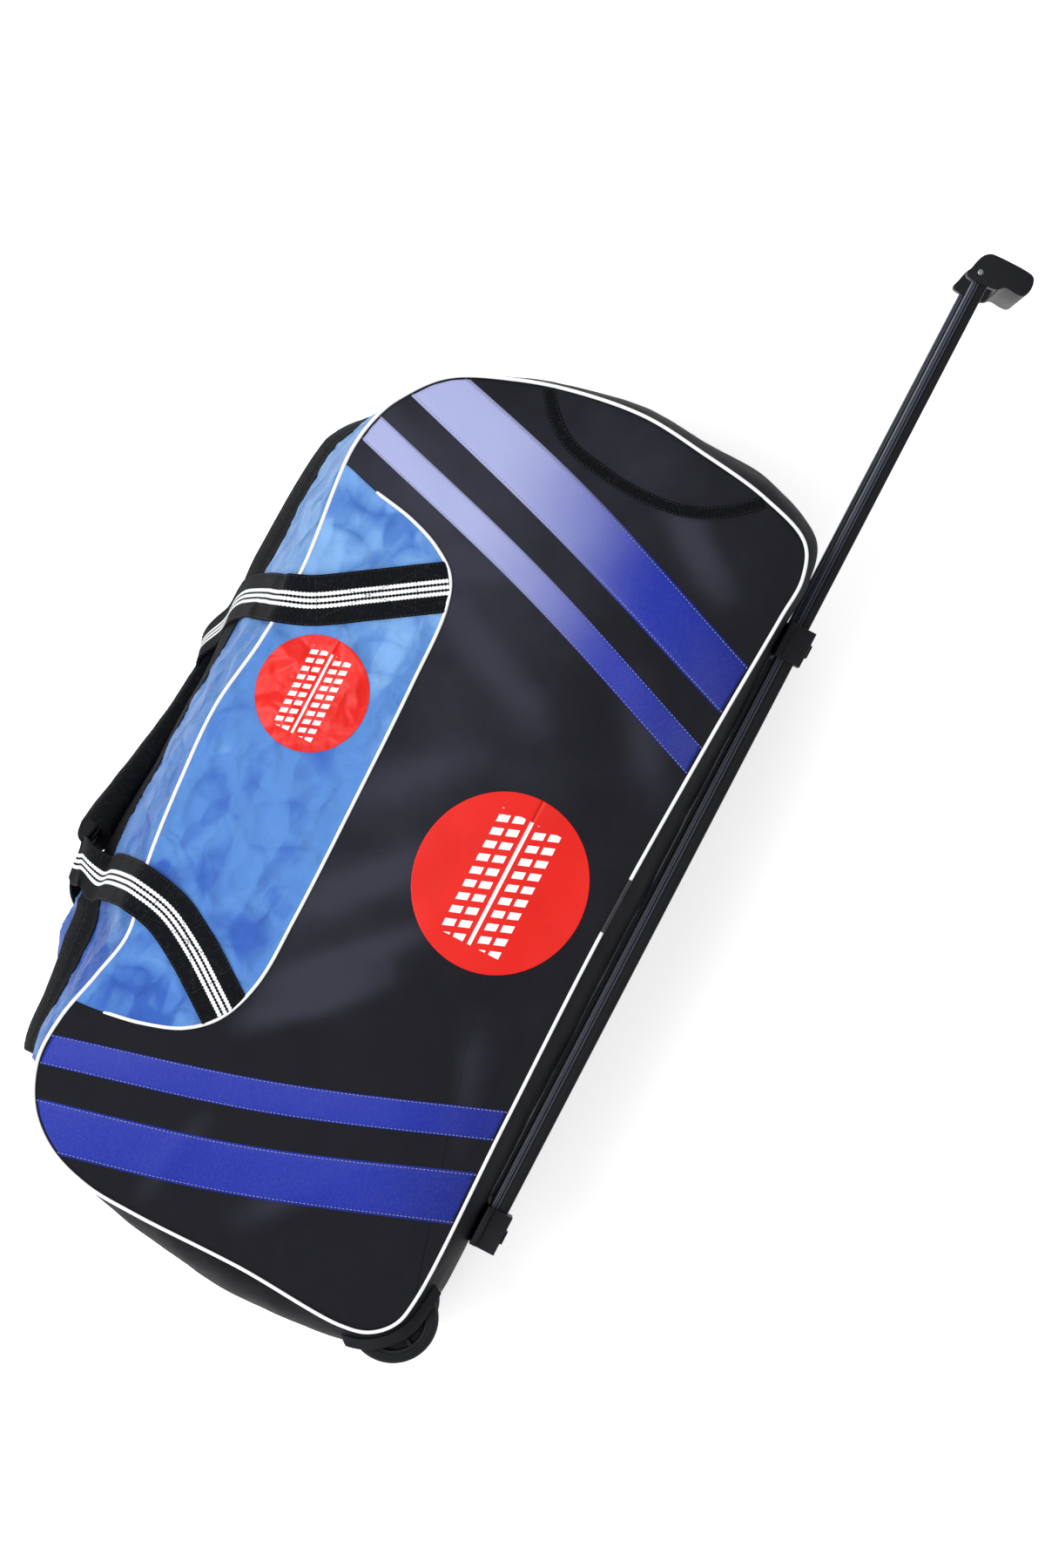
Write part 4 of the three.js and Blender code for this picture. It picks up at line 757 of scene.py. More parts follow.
# Painted highlights along the ridges of the rods: place and half width as shares of a step, over the height of
# the rods' middle.
ROD_RIDGES = ((0.44, 0.05), (0.3, 0.06), (0.12, 0.05))
ROD_MIDDLE, ROD_STEP = -0.23767, 0.0144
class Wire:
    """A socket of a finish, so that an expression on wires adds its Math nodes."""

    def __init__(self, finish, socket):
        self.finish, self.socket = finish, socket

    def maths(self, operation, *others):
        values = {i: v for i, v in enumerate((self,) + others)}
        return self.finish.node("ShaderNodeMath", {"operation": operation}, values)

    def __add__(self, other):
        return self.maths("ADD", other)

    def __mul__(self, other):
        return self.maths("MULTIPLY", other)

    def __sub__(self, other):
        return self.maths("SUBTRACT", other)

    def __rsub__(self, other):
        return self.maths("MULTIPLY", -1.0).maths("ADD", other)

    def __truediv__(self, other):
        return self.maths("DIVIDE", other)

    __radd__, __rmul__ = __add__, __mul__

    def sine(self):
        return self.maths("SINE")

    def size(self):
        return self.maths("ABSOLUTE")

    def most(self, other):
        return self.maths("MAXIMUM", other)

    def below(self, other):
        return self.maths("LESS_THAN", other)

    def span(self, low, high):
        """0 at low, 1 at high, smooth between."""
        settings = {"interpolation_type": "SMOOTHSTEP"}
        values = {"Value": self, "From Min": low, "From Max": high}
        return self.finish.node("ShaderNodeMapRange", settings, values)


class Finish:
    """A material round one Principled shader."""

    def __init__(self, name, **constants):
        self.material = bpy.data.materials.new(name)
        self.material.use_nodes = True
        self.tree = self.material.node_tree
        self.shader = next(n for n in self.tree.nodes if n.type == "BSDF_PRINCIPLED")
        for socket, value in constants.items():
            self.shader.inputs[socket.replace("_", " ")].default_value = value

    def node(self, kind, settings=None, values=None, output=0):
        """A node with its settings, then the values or wires of its sockets; gives one of its outputs."""
        node = self.tree.nodes.new(kind)
        for key, value in (settings or {}).items():
            setattr(node, key, value)
        for key, value in (values or {}).items():
            socket = node.inputs[key]
            if isinstance(value, Wire):
                self.tree.links.new(value.socket, socket)
            else:
                socket.default_value = value
        return Wire(self, node.outputs[output])

    def place(self, output="Object"):
        return self.node("ShaderNodeTexCoord", output=output)

    def parts(self, vector):
        split = self.node("ShaderNodeSeparateXYZ", values={0: vector})
        return [Wire(self, output) for output in split.socket.node.outputs]

    def mapped(self, vector, scale=(1, 1, 1), turn=(0, 0, 0)):
        return self.node("ShaderNodeMapping", values={"Vector": vector, "Scale": scale, "Rotation": turn})

    def cloudy(self, vector, scale, detail=3.0):
        values = {"Vector": vector, "Scale": scale, "Detail": detail, "Roughness": 0.55}
        return self.node("ShaderNodeTexNoise", values=values)

    def patches(self, vector, scale):
        """Distance to the middles of random patches with soft edges, and a random tone for each."""
        settings = {"feature": "SMOOTH_F1"}
        values = {"Vector": vector, "Scale": scale, "Smoothness": 0.3}
        distance = self.node("ShaderNodeTexVoronoi", settings, values)
        tone = self.node("ShaderNodeTexVoronoi", settings, values, output=1)
        return distance, self.parts(tone)[0]

    def mix(self, factor, first, second):
        return self.node("ShaderNodeMix", {"data_type": "RGBA"}, {0: factor, 6: first, 7: second}, output=2)

    def read(self, name):
        return self.node("ShaderNodeAttribute", {"attribute_name": name}, output=2)

    def feed(self, **wires):
        for socket, wire in wires.items():
            self.tree.links.new(wire.socket, self.shader.inputs[socket.replace("_", " ")])
        return self

    def bump(self, height, distance, strength):
        values = {"Height": height, "Distance": distance, "Strength": strength}
        return self.feed(Normal=self.node("ShaderNodeBump", values=values))


def weave(finish, vector, pitch):
    """Height of a plain weave."""
    u, v, _ = finish.parts(vector)
    wave = 2 * math.pi / pitch
    return (u * wave).sine() * (v * wave).sine()


def black_cloth(name, tint, pale_and_lit, pitch=PLAIN_WEAVE, gloss=0.16):
    """Coated black cloth: paler in random patches, with painted light towards the zip side and the handle end and
    a painted highlight along its folds.
    """
    finish = Finish(name, Roughness=0.6, Specular_IOR_Level=gloss)
    solid = finish.place()
    along, across, _ = finish.parts(solid)
    broad = finish.cloudy(finish.mapped(solid, turn=(0, 0, 0.6)), 5.0, 4)
    # Painted light: paler towards the zip side and towards the handle end.
    lit = (across + 0.2).span(0.0, 0.28) * 0.45 + along.span(-0.26, 0.0) * 0.75 - 0.6
    # Random paler patches, plus the painted light and a painted highlight on the fold crests.
    tone_and_light = (broad - 0.5) * 2.2 + lit + finish.read("fold") * 0.95
    speck = finish.cloudy(solid, 260, 2).span(0.6, 0.8)
    base = finish.mix((tone_and_light + speck * 0.1).span(-0.1, 1.3), tint, pale_and_lit)
    finish.feed(Base_Color=base, Roughness=0.5 + finish.cloudy(solid, 30) * 0.2)
    ridges = (finish.cloudy(solid, 16, 2) - 0.5).size() * -9.0
    small = finish.cloudy(solid, 70, 4) * 1.2
    return finish.bump(weave(finish, finish.place("UV"), pitch) * 0.35 + small + ridges, 0.6 * MM, 0.6).material


def blue_cloth(name, tints, gloss=0.3, contrast=0.8):
    """Coated blue cloth in soft-edged facets, with tints for its plain parts, for painted shade in its folds and
    for painted highlight on its crests; the facets are painted lighter and darker at random, shade is painted
    towards the wheel end and light towards the handle end.
    """
    # Tints: plain cloth, painted shade in the folds, painted highlight on the crests.
    plain, folded, highlight_tint = tints
    finish = Finish(name, Roughness=0.42, Specular_IOR_Level=gloss)
    solid = finish.place()
    along, _, _ = finish.parts(solid)
    cloud = finish.cloudy(solid, 6, 4)
    large, large_tone = finish.patches(finish.mapped(solid, (0.6, 1.2, 1.0), (0, 0, 0.7)), 22.0)
    small, small_tone = finish.patches(finish.mapped(solid, (0.7, 1.1, 1.0), (0, 0, -0.5)), 52.0)
    # Painted light on the facets: each facet a random tone lighter or darker.
    facets = (large_tone - 0.5) * 1.1 + (small_tone - 0.5) * 0.6
    # A mask for the painted shade and highlight: the folds' relief, broad noise and the facets.
    height = (finish.read("fold") * 0.55 + (cloud - 0.5) * 1.1 + facets) * contrast
    # Painted shade in the hollows and towards the wheel end.
    deep = (0.35 - height - along.span(-0.2, 0.1) * 0.6).span(0.0, 0.9)
    # Painted highlight on the crests and towards the handle end.
    crest_highlight = (height + along.span(0.0, 0.27)).span(0.2, 1.3)
    base = finish.mix(crest_highlight * 0.8, finish.mix(deep * 0.85, plain, folded), highlight_tint)
    finish.feed(Base_Color=base, Roughness=0.34 + finish.cloudy(solid, 45) * 0.16)
    ridges = large * 8.5 + small * 3.6 - (finish.cloudy(solid, 14, 2) - 0.5).size() * 9.0
    return finish.bump(weave(finish, finish.place("UV"), COATED_WEAVE) * 0.2 + ridges, 1.2 * MM, 0.9).material


def satin(name, deep, pale):
    """Satin ribbon; its painted reflection is in the attribute sheen, and shade is painted towards the base."""
    finish = Finish(name, Roughness=0.42, Specular_IOR_Level=0.25, Sheen_Weight=0.05, Sheen_Roughness=0.4)
    solid = finish.place()
    cloud = finish.cloudy(solid, 9)
    # Painted reflection: the share in the attribute sheen, with a cloudy edge.
    edge = (finish.read("sheen") + (cloud - 0.5) * 0.22).span(0.0, 1.0)
    fleck = finish.cloudy(solid, 420, 2).span(0.35, 0.75)
    _, across, _ = finish.parts(solid)
    # Painted shade: darker towards the base.
    shade = across.span(-0.22, -0.1) * 0.45 + 0.55
    ribbon = finish.mix(edge, finish.mix(shade, shaded(deep, 0.2), deep), pale)
    finish.feed(Base_Color=finish.mix(fleck * 0.03, ribbon, pale))
    u, v, _ = finish.parts(finish.place("UV"))
    twill = ((u + v) * (2 * math.pi / TWILL)).sine()
    return finish.bump(twill * 0.4 + finish.cloudy(solid, 60), 0.3 * MM, 0.5).material


def webbing_finish(name, black, white, lined=True):
    """Ribbed webbing; u runs along it and v across it, in metres from its middle."""
    finish = Finish(name, Roughness=0.85, Specular_IOR_Level=0.1)
    u, v, _ = finish.parts(finish.place("UV"))
    ribs = (u * (2 * math.pi / RIB)).sine()
    grain = finish.cloudy(finish.place(), 300)
    base = finish.mix(grain.span(0.5, 0.85) * 0.5, black, (0.03, 0.032, 0.038, 1))
    if lined:
        edge = (u * (math.pi / SCALLOP)).sine().size() * LINE_BULGE + LINE_WAIST
        first, second, third = [((v - place).size() - edge).below(0.0) for place in LINE_PLACES]
        base = finish.mix(first.most(second).most(third), base, white)
    finish.feed(Base_Color=base)
    threads = (v * (2 * math.pi / THREAD)).sine()
    return finish.bump(ribs * 0.7 + threads * 0.25 + grain * 0.5, 0.5 * MM, 0.7).material


def print_finish(name, red, white):
    """Printed roundel, crossed by a straight white seam with rows of stitches; its UV runs from -1 to 1."""
    finish = Finish(name, Roughness=0.42, Specular_IOR_Level=0.2, Coat_Weight=0.04, Coat_Roughness=0.28)
    u, v, _ = finish.parts(finish.place("UV"))
    solid = finish.place()
    within_seam = (u.size() - SEAM_HALF).below(0.0)
    stitches = (u * 40.0 + v * 14.0).sine().below(0.1)
    seam = (v.size() - SEAM_LINE).below(0.0)
    for row in SEAM_ROWS:
        seam = seam.most(((v.size() - row).size() - SEAM_ROW_HALF).below(0.0) * stitches)
    cloud = finish.cloudy(solid, 14)
    tint = finish.mix(cloud.span(0.45, 0.75) * 0.35, red, shaded(red, 0.72))
    finish.feed(Base_Color=finish.mix(seam * within_seam, tint, white), Roughness=0.36 + cloud * 0.14)
    return finish.bump(finish.cloudy(solid, 160), 0.3 * MM, 0.4).material


def cord_finish(name, tint, rough=0.35):
    """Smooth cord or thread, darker in patches."""
    finish = Finish(name, Roughness=rough, Specular_IOR_Level=0.5)
    solid = finish.place()
    cloud = finish.cloudy(solid, 35)
    finish.feed(Base_Color=finish.mix(cloud.span(0.4, 0.8) * 0.3, tint, shaded(tint, 0.62)))
    return finish.bump(finish.cloudy(solid, 240, 2), 0.3 * MM, 0.4).material


def moulded(name, tint, rough=0.5, grain=900.0):
    """Moulded plastic or rubber, paler where it is rubbed."""
    finish = Finish(name, Roughness=rough, Specular_IOR_Level=0.18)
    solid = finish.place()
    wear = finish.cloudy(solid, 28, 4).span(0.45, 0.8)
    finish.feed(Base_Color=finish.mix(wear * 0.4, tint, shaded(tint, 1.9, 0.006)))
    finish.feed(Roughness=rough - 0.08 + finish.cloudy(solid, 60) * 0.18)
    return finish.bump(finish.cloudy(solid, grain, 2), 0.2 * MM, 0.35).material


def drawn_lines(finish, solid):
    """Fine lines along the bag, as on drawn metal."""
    return finish.cloudy(finish.mapped(solid, scale=(6, 900, 900)), 1.0, 2)


def grooved_metal(name, tint, ridge):
    """Anodised bars with a painted highlight on the ridges beside the grooves."""
    finish = Finish(name, Roughness=0.4, Metallic=0.2, Specular_IOR_Level=0.3)
    solid = finish.place()
    _, across, _ = finish.parts(solid)
    lines = drawn_lines(finish, solid)
    bands = []
    for place, half in ROD_RIDGES:
        off = (across - ROD_MIDDLE - place * ROD_STEP).size()
        bands.append(1.0 - (off / (half * ROD_STEP)).span(0.4, 1.0))
    # Bands of painted highlight, in the colour ridge.
    pale_and_lit = bands[0].most(bands[1]).most(bands[2])
    finish.feed(Base_Color=finish.mix(pale_and_lit * (0.55 + lines * 0.45), tint, ridge), Roughness=0.26 + lines * 0.16)
    return finish.bump(lines, 0.1 * MM, 0.3).material


def drawn_metal(name, tint, rough=0.3, metal=1.0):
    """Bare or anodised metal with fine drawn lines."""
    finish = Finish(name, Roughness=rough, Metallic=metal)
    lines = drawn_lines(finish, finish.place())
    finish.feed(Base_Color=finish.mix(lines.span(0.4, 0.8) * 0.35, tint, shaded(tint, 1.5, 0.02)))
    finish.feed(Roughness=rough - 0.06 + lines * 0.14)
    return finish.bump(lines, 0.1 * MM, 0.3).material


FINISHES = {}


def make_finishes(tint):
    """Fills the table of finishes from the colours."""
    blues = [tuple(one) for one in (tint.blue_cloth, tint.blue_fold_shade, tint.blue_highlight)]
    black, white, webbing = tuple(tint.black_cloth), tuple(tint.white), tuple(tint.webbing)
    FINISHES.update({
        "black": black_cloth("black cloth", black, tuple(tint.black_pale_and_lit)),
        # Painted shade: the sides take the dark tint where the front takes the paler one.
        "side": black_cloth("shaded black side cloth", tuple(tint.black_side_shade), black, SIDE_WEAVE, 0.06),
        "blue": blue_cloth("blue cloth", blues),
        # Darker copies of the blue tints, with less gloss and contrast, for the zip side: painted shade.
        "shaded blue side": blue_cloth("shaded blue side cloth", [shaded(one, 0.8) for one in blues], 0.2, 0.55),
        "stripe": satin("satin stripe", tuple(tint.stripe_deep), tuple(tint.stripe_pale)),
        "webbing": webbing_finish("striped webbing", webbing, white),
        "tape": webbing_finish("black tape", webbing, white, lined=False),
        "print": print_finish("printed roundel", tuple(tint.red), white),
        "white cord": cord_finish("white cord", white),
        "black cord": cord_finish("black cord", webbing, 0.5),
        "black thread": cord_finish("black thread", shaded(webbing, 2.2), 0.7),
        "grey thread": cord_finish("grey thread", tuple(tint.thread), 0.7),
        "plastic": moulded("moulded plastic", tuple(tint.plastic)),
        "teeth": moulded("zip coil", tuple(tint.lit_zip_coil), 0.35),
        "rods": grooved_metal("anodised rods", tuple(tint.metal), tuple(tint.rod_highlight)),
        "steel": drawn_metal("bare steel", tuple(tint.steel)),
        "rubber": moulded("tyre rubber", tuple(tint.rubber), 0.72, 500.0),
    })


# Repeats along lines

def repeat_tree():
    """A Geometry Nodes tree that sets an item at even steps along a line of points with a facing."""
    tree = bpy.data.node_groups.new("Repeat Along Line", "GeometryNodeTree")
    ports = tree.interface
    ports.new_socket("Line", in_out="INPUT", socket_type="NodeSocketGeometry")
    kinds = {"Spacing": "Float", "Unevenness": "Float", "Item": "Object", "Finish": "Material"}
    for name, kind in kinds.items():
        ports.new_socket(name, in_out="INPUT", socket_type=f"NodeSocket{kind}")
    ports.new_socket("Row", in_out="OUTPUT", socket_type="NodeSocketGeometry")

    def node(kind, settings=None, links=None):
        made = tree.nodes.new(kind)
        for key, value in (settings or {}).items():
            setattr(made, key, value)
        for key, value in (links or {}).items():
            if isinstance(value, bpy.types.NodeSocket):
                tree.links.new(value, made.inputs[key])
            else:
                made.inputs[key].default_value = value
        return made

    given = node("NodeGroupInput").outputs
    curve = node("GeometryNodeMeshToCurve", links={0: given["Line"]})
    even = node(
        "GeometryNodeResampleCurve", {"mode": "LENGTH"}, {"Curve": curve.outputs[0], "Length": given["Spacing"]})
    item = node("GeometryNodeObjectInfo", links={"Object": given["Item"], "As Instance": True})
    facing = node("GeometryNodeInputNamedAttribute", {"data_type": "FLOAT_VECTOR"}, {"Name": "facing"})
    tangent = node("GeometryNodeInputTangent")
    along = node("FunctionNodeAlignRotationToVector", {"axis": "X"}, {"Vector": tangent.outputs[0]})
    turned_up = node(
        "FunctionNodeAlignRotationToVector", {"axis": "Z", "pivot_axis": "X"},
        {"Rotation": along.outputs[0], "Vector": facing.outputs[0]})
    low = node("ShaderNodeMath", {"operation": "SUBTRACT"}, {0: 1.0, 1: given["Unevenness"]})
    high = node("ShaderNodeMath", {"operation": "ADD"}, {0: 1.0, 1: given["Unevenness"]})
    scale = node(
        "FunctionNodeRandomValue", {"data_type": "FLOAT"}, {2: low.outputs[0], 3: high.outputs[0], "Seed": 11})
    repeats = node("GeometryNodeInstanceOnPoints", links={
        "Points": even.outputs[0], "Instance": item.outputs["Geometry"],
        "Rotation": turned_up.outputs[0], "Scale": scale.outputs[1]})
    real = node("GeometryNodeRealizeInstances", links={0: repeats.outputs[0]})
    painted = node("GeometryNodeSetMaterial", links={"Geometry": real.outputs[0], "Material": given["Finish"]})
    tree.links.new(painted.outputs[0], node("NodeGroupOutput").inputs[0])
    return tree


def repeated(name, lines, item, spacing, finish, uneven=0.06):
    """One mesh of an item repeated along lines, each a pair of points and facings."""
    tree = bpy.data.node_groups.get("Repeat Along Line") or repeat_tree()
    points = np.vstack([line for line, _ in lines])
    facings = np.vstack([facing for _, facing in lines])
    edges, start = [], 0
    for line, _ in lines:
        edges += [(start + i, start + i + 1) for i in range(len(line) - 1)]
        start += len(line)
    mesh = bpy.data.meshes.new(name)
    mesh.from_pydata([tuple(p) for p in points], edges, [])
    data = mesh.attributes.new("facing", "FLOAT_VECTOR", "POINT")
    data.data.foreach_set("vector", facings.astype(np.float32).ravel())
    source = bpy.data.objects.new(name, mesh)
    bpy.context.scene.collection.objects.link(source)
    nodes = source.modifiers.new("repeat", "NODES")
    nodes.node_group = tree
    values = {"Spacing": spacing, "Unevenness": uneven, "Item": item, "Finish": finish}
    for port in tree.interface.items_tree:
        if port.in_out == "INPUT" and port.name in values:
            nodes[port.identifier] = values[port.name]
    applied(source)
    source.data.polygons.foreach_set("use_smooth", [True] * len(source.data.polygons))
    return source


def pill(name, size, segments=6, rings=4):
    """A small rounded item, of this length, width and height."""
    bm = bmesh.new()
    bmesh.ops.create_uvsphere(bm, u_segments=segments, v_segments=rings, radius=0.5)
    bmesh.ops.scale(bm, vec=size, verts=bm.verts)
    mesh = bpy.data.meshes.new(name)
    bm.to_mesh(mesh)
    bm.free()
    return placed(name, mesh)


# Shared by the operators

def on_front(body, flat, lift):
    """Flat points put on the front panel and lifted."""
    z = body.height(flat[..., 0], flat[..., 1]) + lift
    return np.concatenate([flat, z[..., None]], -1)


def facing_up(line):
    """An upward facing for each point of a line."""
    return np.tile((0, 0, 1.0), (len(line), 1))


def nearest(line, point):
    """Number of the point of a line that lies nearest a point."""
    return np.argmin(np.linalg.norm(line - point, axis=1))


def shape():
    """The body at the sizes of the sidebar."""
    return Body(bpy.context.scene.kit_bag_sizes)


def tints():
    """The colours of the sidebar."""
    return bpy.context.scene.kit_bag_colours


def coons(bottom, top, left, right):
    """A grid between four lines that share their corners."""
    u = np.linspace(0, 1, len(bottom))[None, :, None]
    v = np.linspace(0, 1, len(left))[:, None, None]
    ruled = (1 - v) * bottom[None] + v * top[None] + (1 - u) * left[:, None] + u * right[:, None]
    corners = (1 - u) * ((1 - v) * bottom[0] + v * top[0]) + u * ((1 - v) * bottom[-1] + v * top[-1])
    return ruled - corners


def evenly(line, count):
    """As many points evenly along a line."""
    run = run_of(line)
    places = np.linspace(0, run[-1], count)
    return np.stack([np.interp(places, run, line[:, k]) for k in range(line.shape[1])], 1)


def yoke_line(body):
    """The yoke's lower edge, finely, and the part of it inside the seam."""
    path = Path(np.array(YOKE_EDGE) * body.half[:2])
    line = path.at(path.even(900))
    inside = np.where(body.share(line[:, 0], line[:, 1]) < 1)[0]
    return line, line[inside[0]:inside[-1] + 1]


def under_yoke(body, points):
    """How far points lie inside the yoke, in metres, negative outside."""
    line, _ = yoke_line(body)
    area = np.vstack([line, [[-0.4, 0.4], [0.4, 0.4]]])
    line = line[::6]
    gap = np.min(np.linalg.norm(points[:, None] - line[None], axis=2), axis=1)
    return np.where(within(points, area), gap, -gap)


def fan(ring, pole, shares):
    """A grid of rings: an outline drawn in to a pole, at these shares of the way out."""
    return pole + (ring[None] - pole) * np.asarray(shares)[:, None, None]


# Rows of YOKE_EDGE where the yoke turns its corners, and its points along and up.
YOKE_CORNERS = (5, 11)
YOKE_POINTS = (236, 84)
# Room under the yoke.
YOKE_ROOM = 9 * MM
def front_panel(body, ring):
    """The crowned front, lower under the yoke."""
    pole = np.array(ROUNDELS[0][2:4]) * body.half[:2]
    shares = np.concatenate([[0], through([0.02, 0.94, 1], 0.02)[:-1], [0.97, 0.985, 1]])
    flat = fan(ring, pole, np.unique(np.round(shares, 4)))
    x, y = flat[..., 0], flat[..., 1]
    inside = under_yoke(body, flat.reshape(-1, 2)).reshape(x.shape)
    under = ramp(inside, 3 * MM, 20 * MM) * ramp(1 - body.share(x, y), 0.01, 0.12)
    points = on_front(body, flat, -ramp(inside, -0.5 * MM, 3 * MM) * MM - YOKE_ROOM * under)
    # Height of the soft folds as an attribute: the black cloth paints a highlight along them.
    fold = sum(body.fold(x, y, row) for row in FOLDS) / FOLD_RISE
    panel = sheet("front_panel_cloth", points, flat, fold=fold)
    wall(panel, CLOTH)
    finished(panel, FINISHES["black"], BAG, "cloth_black", "front_panel")


def yoke(body):
    """A little too much blue cloth that settles with its rim held."""
    _, edge = yoke_line(body)
    first, last = (nearest(edge, np.array(YOKE_EDGE[k]) * body.half[:2]) for k in YOKE_CORNERS)
    start, end = (body.place_on("zip", edge[k][0]) for k in (0, -1))
    seam, _ = body.seam(np.linspace(start, end, 600))
    across, up = YOKE_POINTS
    top = np.vstack([edge[:1], seam[1:-1], edge[-1:]])
    grid = coons(
        evenly(edge[first:last + 1], across), evenly(top, across),
        evenly(edge[:first + 1][::-1], up), evenly(edge[last:], up))
    share = body.share(grid[..., 0], grid[..., 1])
    rim = np.clip(np.minimum((1 - share) * 0.2, from_line(edge, grid)) / 0.012, 0, 1)
    relief = crinkled(np.dstack([grid, 0 * share]), 5)
    points = on_front(body, grid, 0.5 * MM + rim * relief * RELIEF)
    # The relief as an attribute: the blue cloth paints shade in its hollows and a highlight on its crests.
    piece = sheet("yoke_cloth", points, grid, fold=rim * relief)
    hold_rim(piece, share.shape)
    settled(piece, SLACK, rim * 3 * MM, push=0.15)
    wall(piece, COATED)
    finished(piece, FINISHES["blue"], BAG, "cloth_blue", "front_yoke")


def back_panel(body, ring):
    """The back: flat where it rests, drawn up to its seam."""
    flat = fan(ring, np.zeros(2), np.linspace(0, 1, 40))
    share = np.clip(body.share(flat[..., 0], flat[..., 1]), 0, 1)
    wave = crumple(np.dstack([flat, 0 * share]), 0.09, 21) * MM
    lift = np.maximum(wave, 0) * ramp(share, 0.3, 0.8) * (1 - ramp(share, 0.9, 1))
    z = body.size.back_tuck * ramp(share, 0.55, 1.0) ** 1.4 + lift + 0.1 * MM
    panel = sheet("back_panel_cloth", np.dstack([flat, z]), flat)
    wall(panel, CLOTH)
    finished(panel, FINISHES["side"], BAG, "cloth_black", "back_panel")


def build_front():
    body = shape()
    ring, _ = body.seam(body.outline.even(561)[:-1])
    ring = np.vstack([ring, ring[:1]])
    front_panel(body, ring)
    yoke(body)
    back_panel(body, ring)


def bend(points):
    """Where the zip side bends beside the wheel end's strap: 1 there, 0 far away."""
    return np.exp(-(((points[..., 0] + 0.235) / 0.045) ** 2))


def deep_folds(points):
    """The deep folds of the zip side at its bend."""
    crests, valleys = creases(points * (1, 1, 0.5), 0.05, 77), creases(points * (0.7, 1, 1), 0.04, 78)
    return bend(points) * (crests * 3 - valleys * 2)


def side_points(body, u, z, push):
    """Gusset points for a grid of places and heights, pushed out by a soft relief."""
    depth = (z - body.middle) / body.half[2]
    points = body.gusset(u[:, None], depth[None])
    _, out = body.seam(u)
    rim = np.minimum(1, (1 - np.abs(depth)) * 9)[None]
    lift = crumple(points, 0.07, 13) * push * rim
    points[..., :2] += out[:, None] * lift[..., None]
    return points


def from_wheel(points):
    """Distance of points from the wheels' axis."""
    low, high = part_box("axle_near")
    return np.hypot(points[:, 0] - (low.x + high.x) / 2, points[:, 1] - (low.y + high.y) / 2)


def well(points):
    """Which places of the gusset are in the holes for the wheels: they end in the housings' walls."""
    across = np.abs(np.abs(points[:, 2] - MIDDLE_HEIGHT) - WHEEL_ASIDE)
    return (from_wheel(points) < WELL_RADIUS) & (across < WELL_HALF)


def from_line(line, points):
    """Distance of points from a line."""
    flat = points.reshape(-1, 2)
    gap = np.min(np.linalg.norm(flat[:, None] - line[None, ::8], axis=2), axis=1)
    return gap.reshape(points.shape[:-1])


# Depth of the gusset at which the holes for the wheels are measured along the seam.
WELL_DEPTH = 0.74
def black_sides(body):
    """Base and ends, pushed out by a soft relief, with holes for the wheels."""
    mark = body.mark
    wells = [MIDDLE_HEIGHT + s * WHEEL_ASIDE + t * WELL_HALF for s in (-1, 1) for t in (-1, 1)]
    z = through([body.size.back_tuck] + wells + [body.front], 6 * MM)
    fine = np.linspace(0, mark("base handle end"), 6000)
    u_base = fine[np.argmax(from_wheel(body.gusset(fine, WELL_DEPTH)) > WELL_RADIUS)]
    fine = np.linspace(mark("wheel shoulder"), 1, 3000)
    u_end = fine[np.argmax(from_wheel(body.gusset(fine, WELL_DEPTH)) < WELL_RADIUS)]
    spans = (
        ("base_gusset", (0.0, u_base, mark("base handle end"))),
        ("end_gusset_handle", (mark("base handle end"), mark("handle shoulder"))),
        ("end_gusset_wheel", (mark("wheel shoulder"), u_end, 1.0)),
    )
    for name, stops in spans:
        points = side_points(body, through(stops, 0.0015), z, 1.6 * MM)
        uv = np.dstack(np.meshgrid(run_of(points[:, len(z) // 2]), z, indexing="ij"))
        piece = sheet(name + "_cloth", points, uv, keep=lambda middles: ~well(middles))
        wall(piece, CLOTH)
        finished(piece, FINISHES["side"], BAG, "cloth_black", name)


def zip_sides(body):
    """The blue strips beside the zip: a little too much cloth that settles with its rims held."""
    names = ("handle shoulder", "zip handle end", "zip wheel end", "wheel shoulder")
    marks = [body.mark(name) for name in names]
    u = through(marks, 0.0011)
    slot = ramp(u, marks[1] - 0.002, marks[1] + 0.006) * (1 - ramp(u, marks[2] - 0.006, marks[2] + 0.002))
    slot = slot[:, None]
    ends = np.minimum(u - u[0], u[-1] - u)[:, None]
    front = (1.0, CHAIN_DEPTH + (FRONT_TAPE_EDGE - CHAIN_DEPTH) * slot)
    back = (CHAIN_DEPTH + (BACK_TAPE_EDGE - CHAIN_DEPTH) * slot, -1.0)
    for name, (high, low), count in (("front", front, 46), ("back", back, 60)):
        t = np.linspace(0, 1, count)[None]
        depth = high + (low - high) * t
        points = body.gusset(u[:, None], depth)
        normal = body.facing(u[:, None], depth)
        rim = np.minimum(1, np.minimum(t, 1 - t) * 8) * np.minimum(1, ends * 60)
        bed = crinkled(points, 31) + deep_folds(points)
        points = points + normal * (rim * bed * RELIEF)[..., None]
        run = run_of(points[:, count // 2])
        uv = np.dstack([np.broadcast_to(run[:, None], depth.shape), points[..., 2]])
        # The relief as an attribute for painted shade and highlight, lowered at the bend for painted shade in its
        # deep folds.
        piece = sheet(f"top_gusset_{name}_cloth", points, uv, fold=rim * bed - 1.5 * bend(points))
        hold_rim(piece, depth.shape)
        settled(piece, SLACK, rim * 3.5 * MM, push=0.12)
        wall(piece, COATED)
        finished(piece, FINISHES["shaded blue side"], BAG, "cloth_blue", f"top_gusset_{name}")


def build_gussets():
    body = shape()
    black_sides(body)
    zip_sides(body)


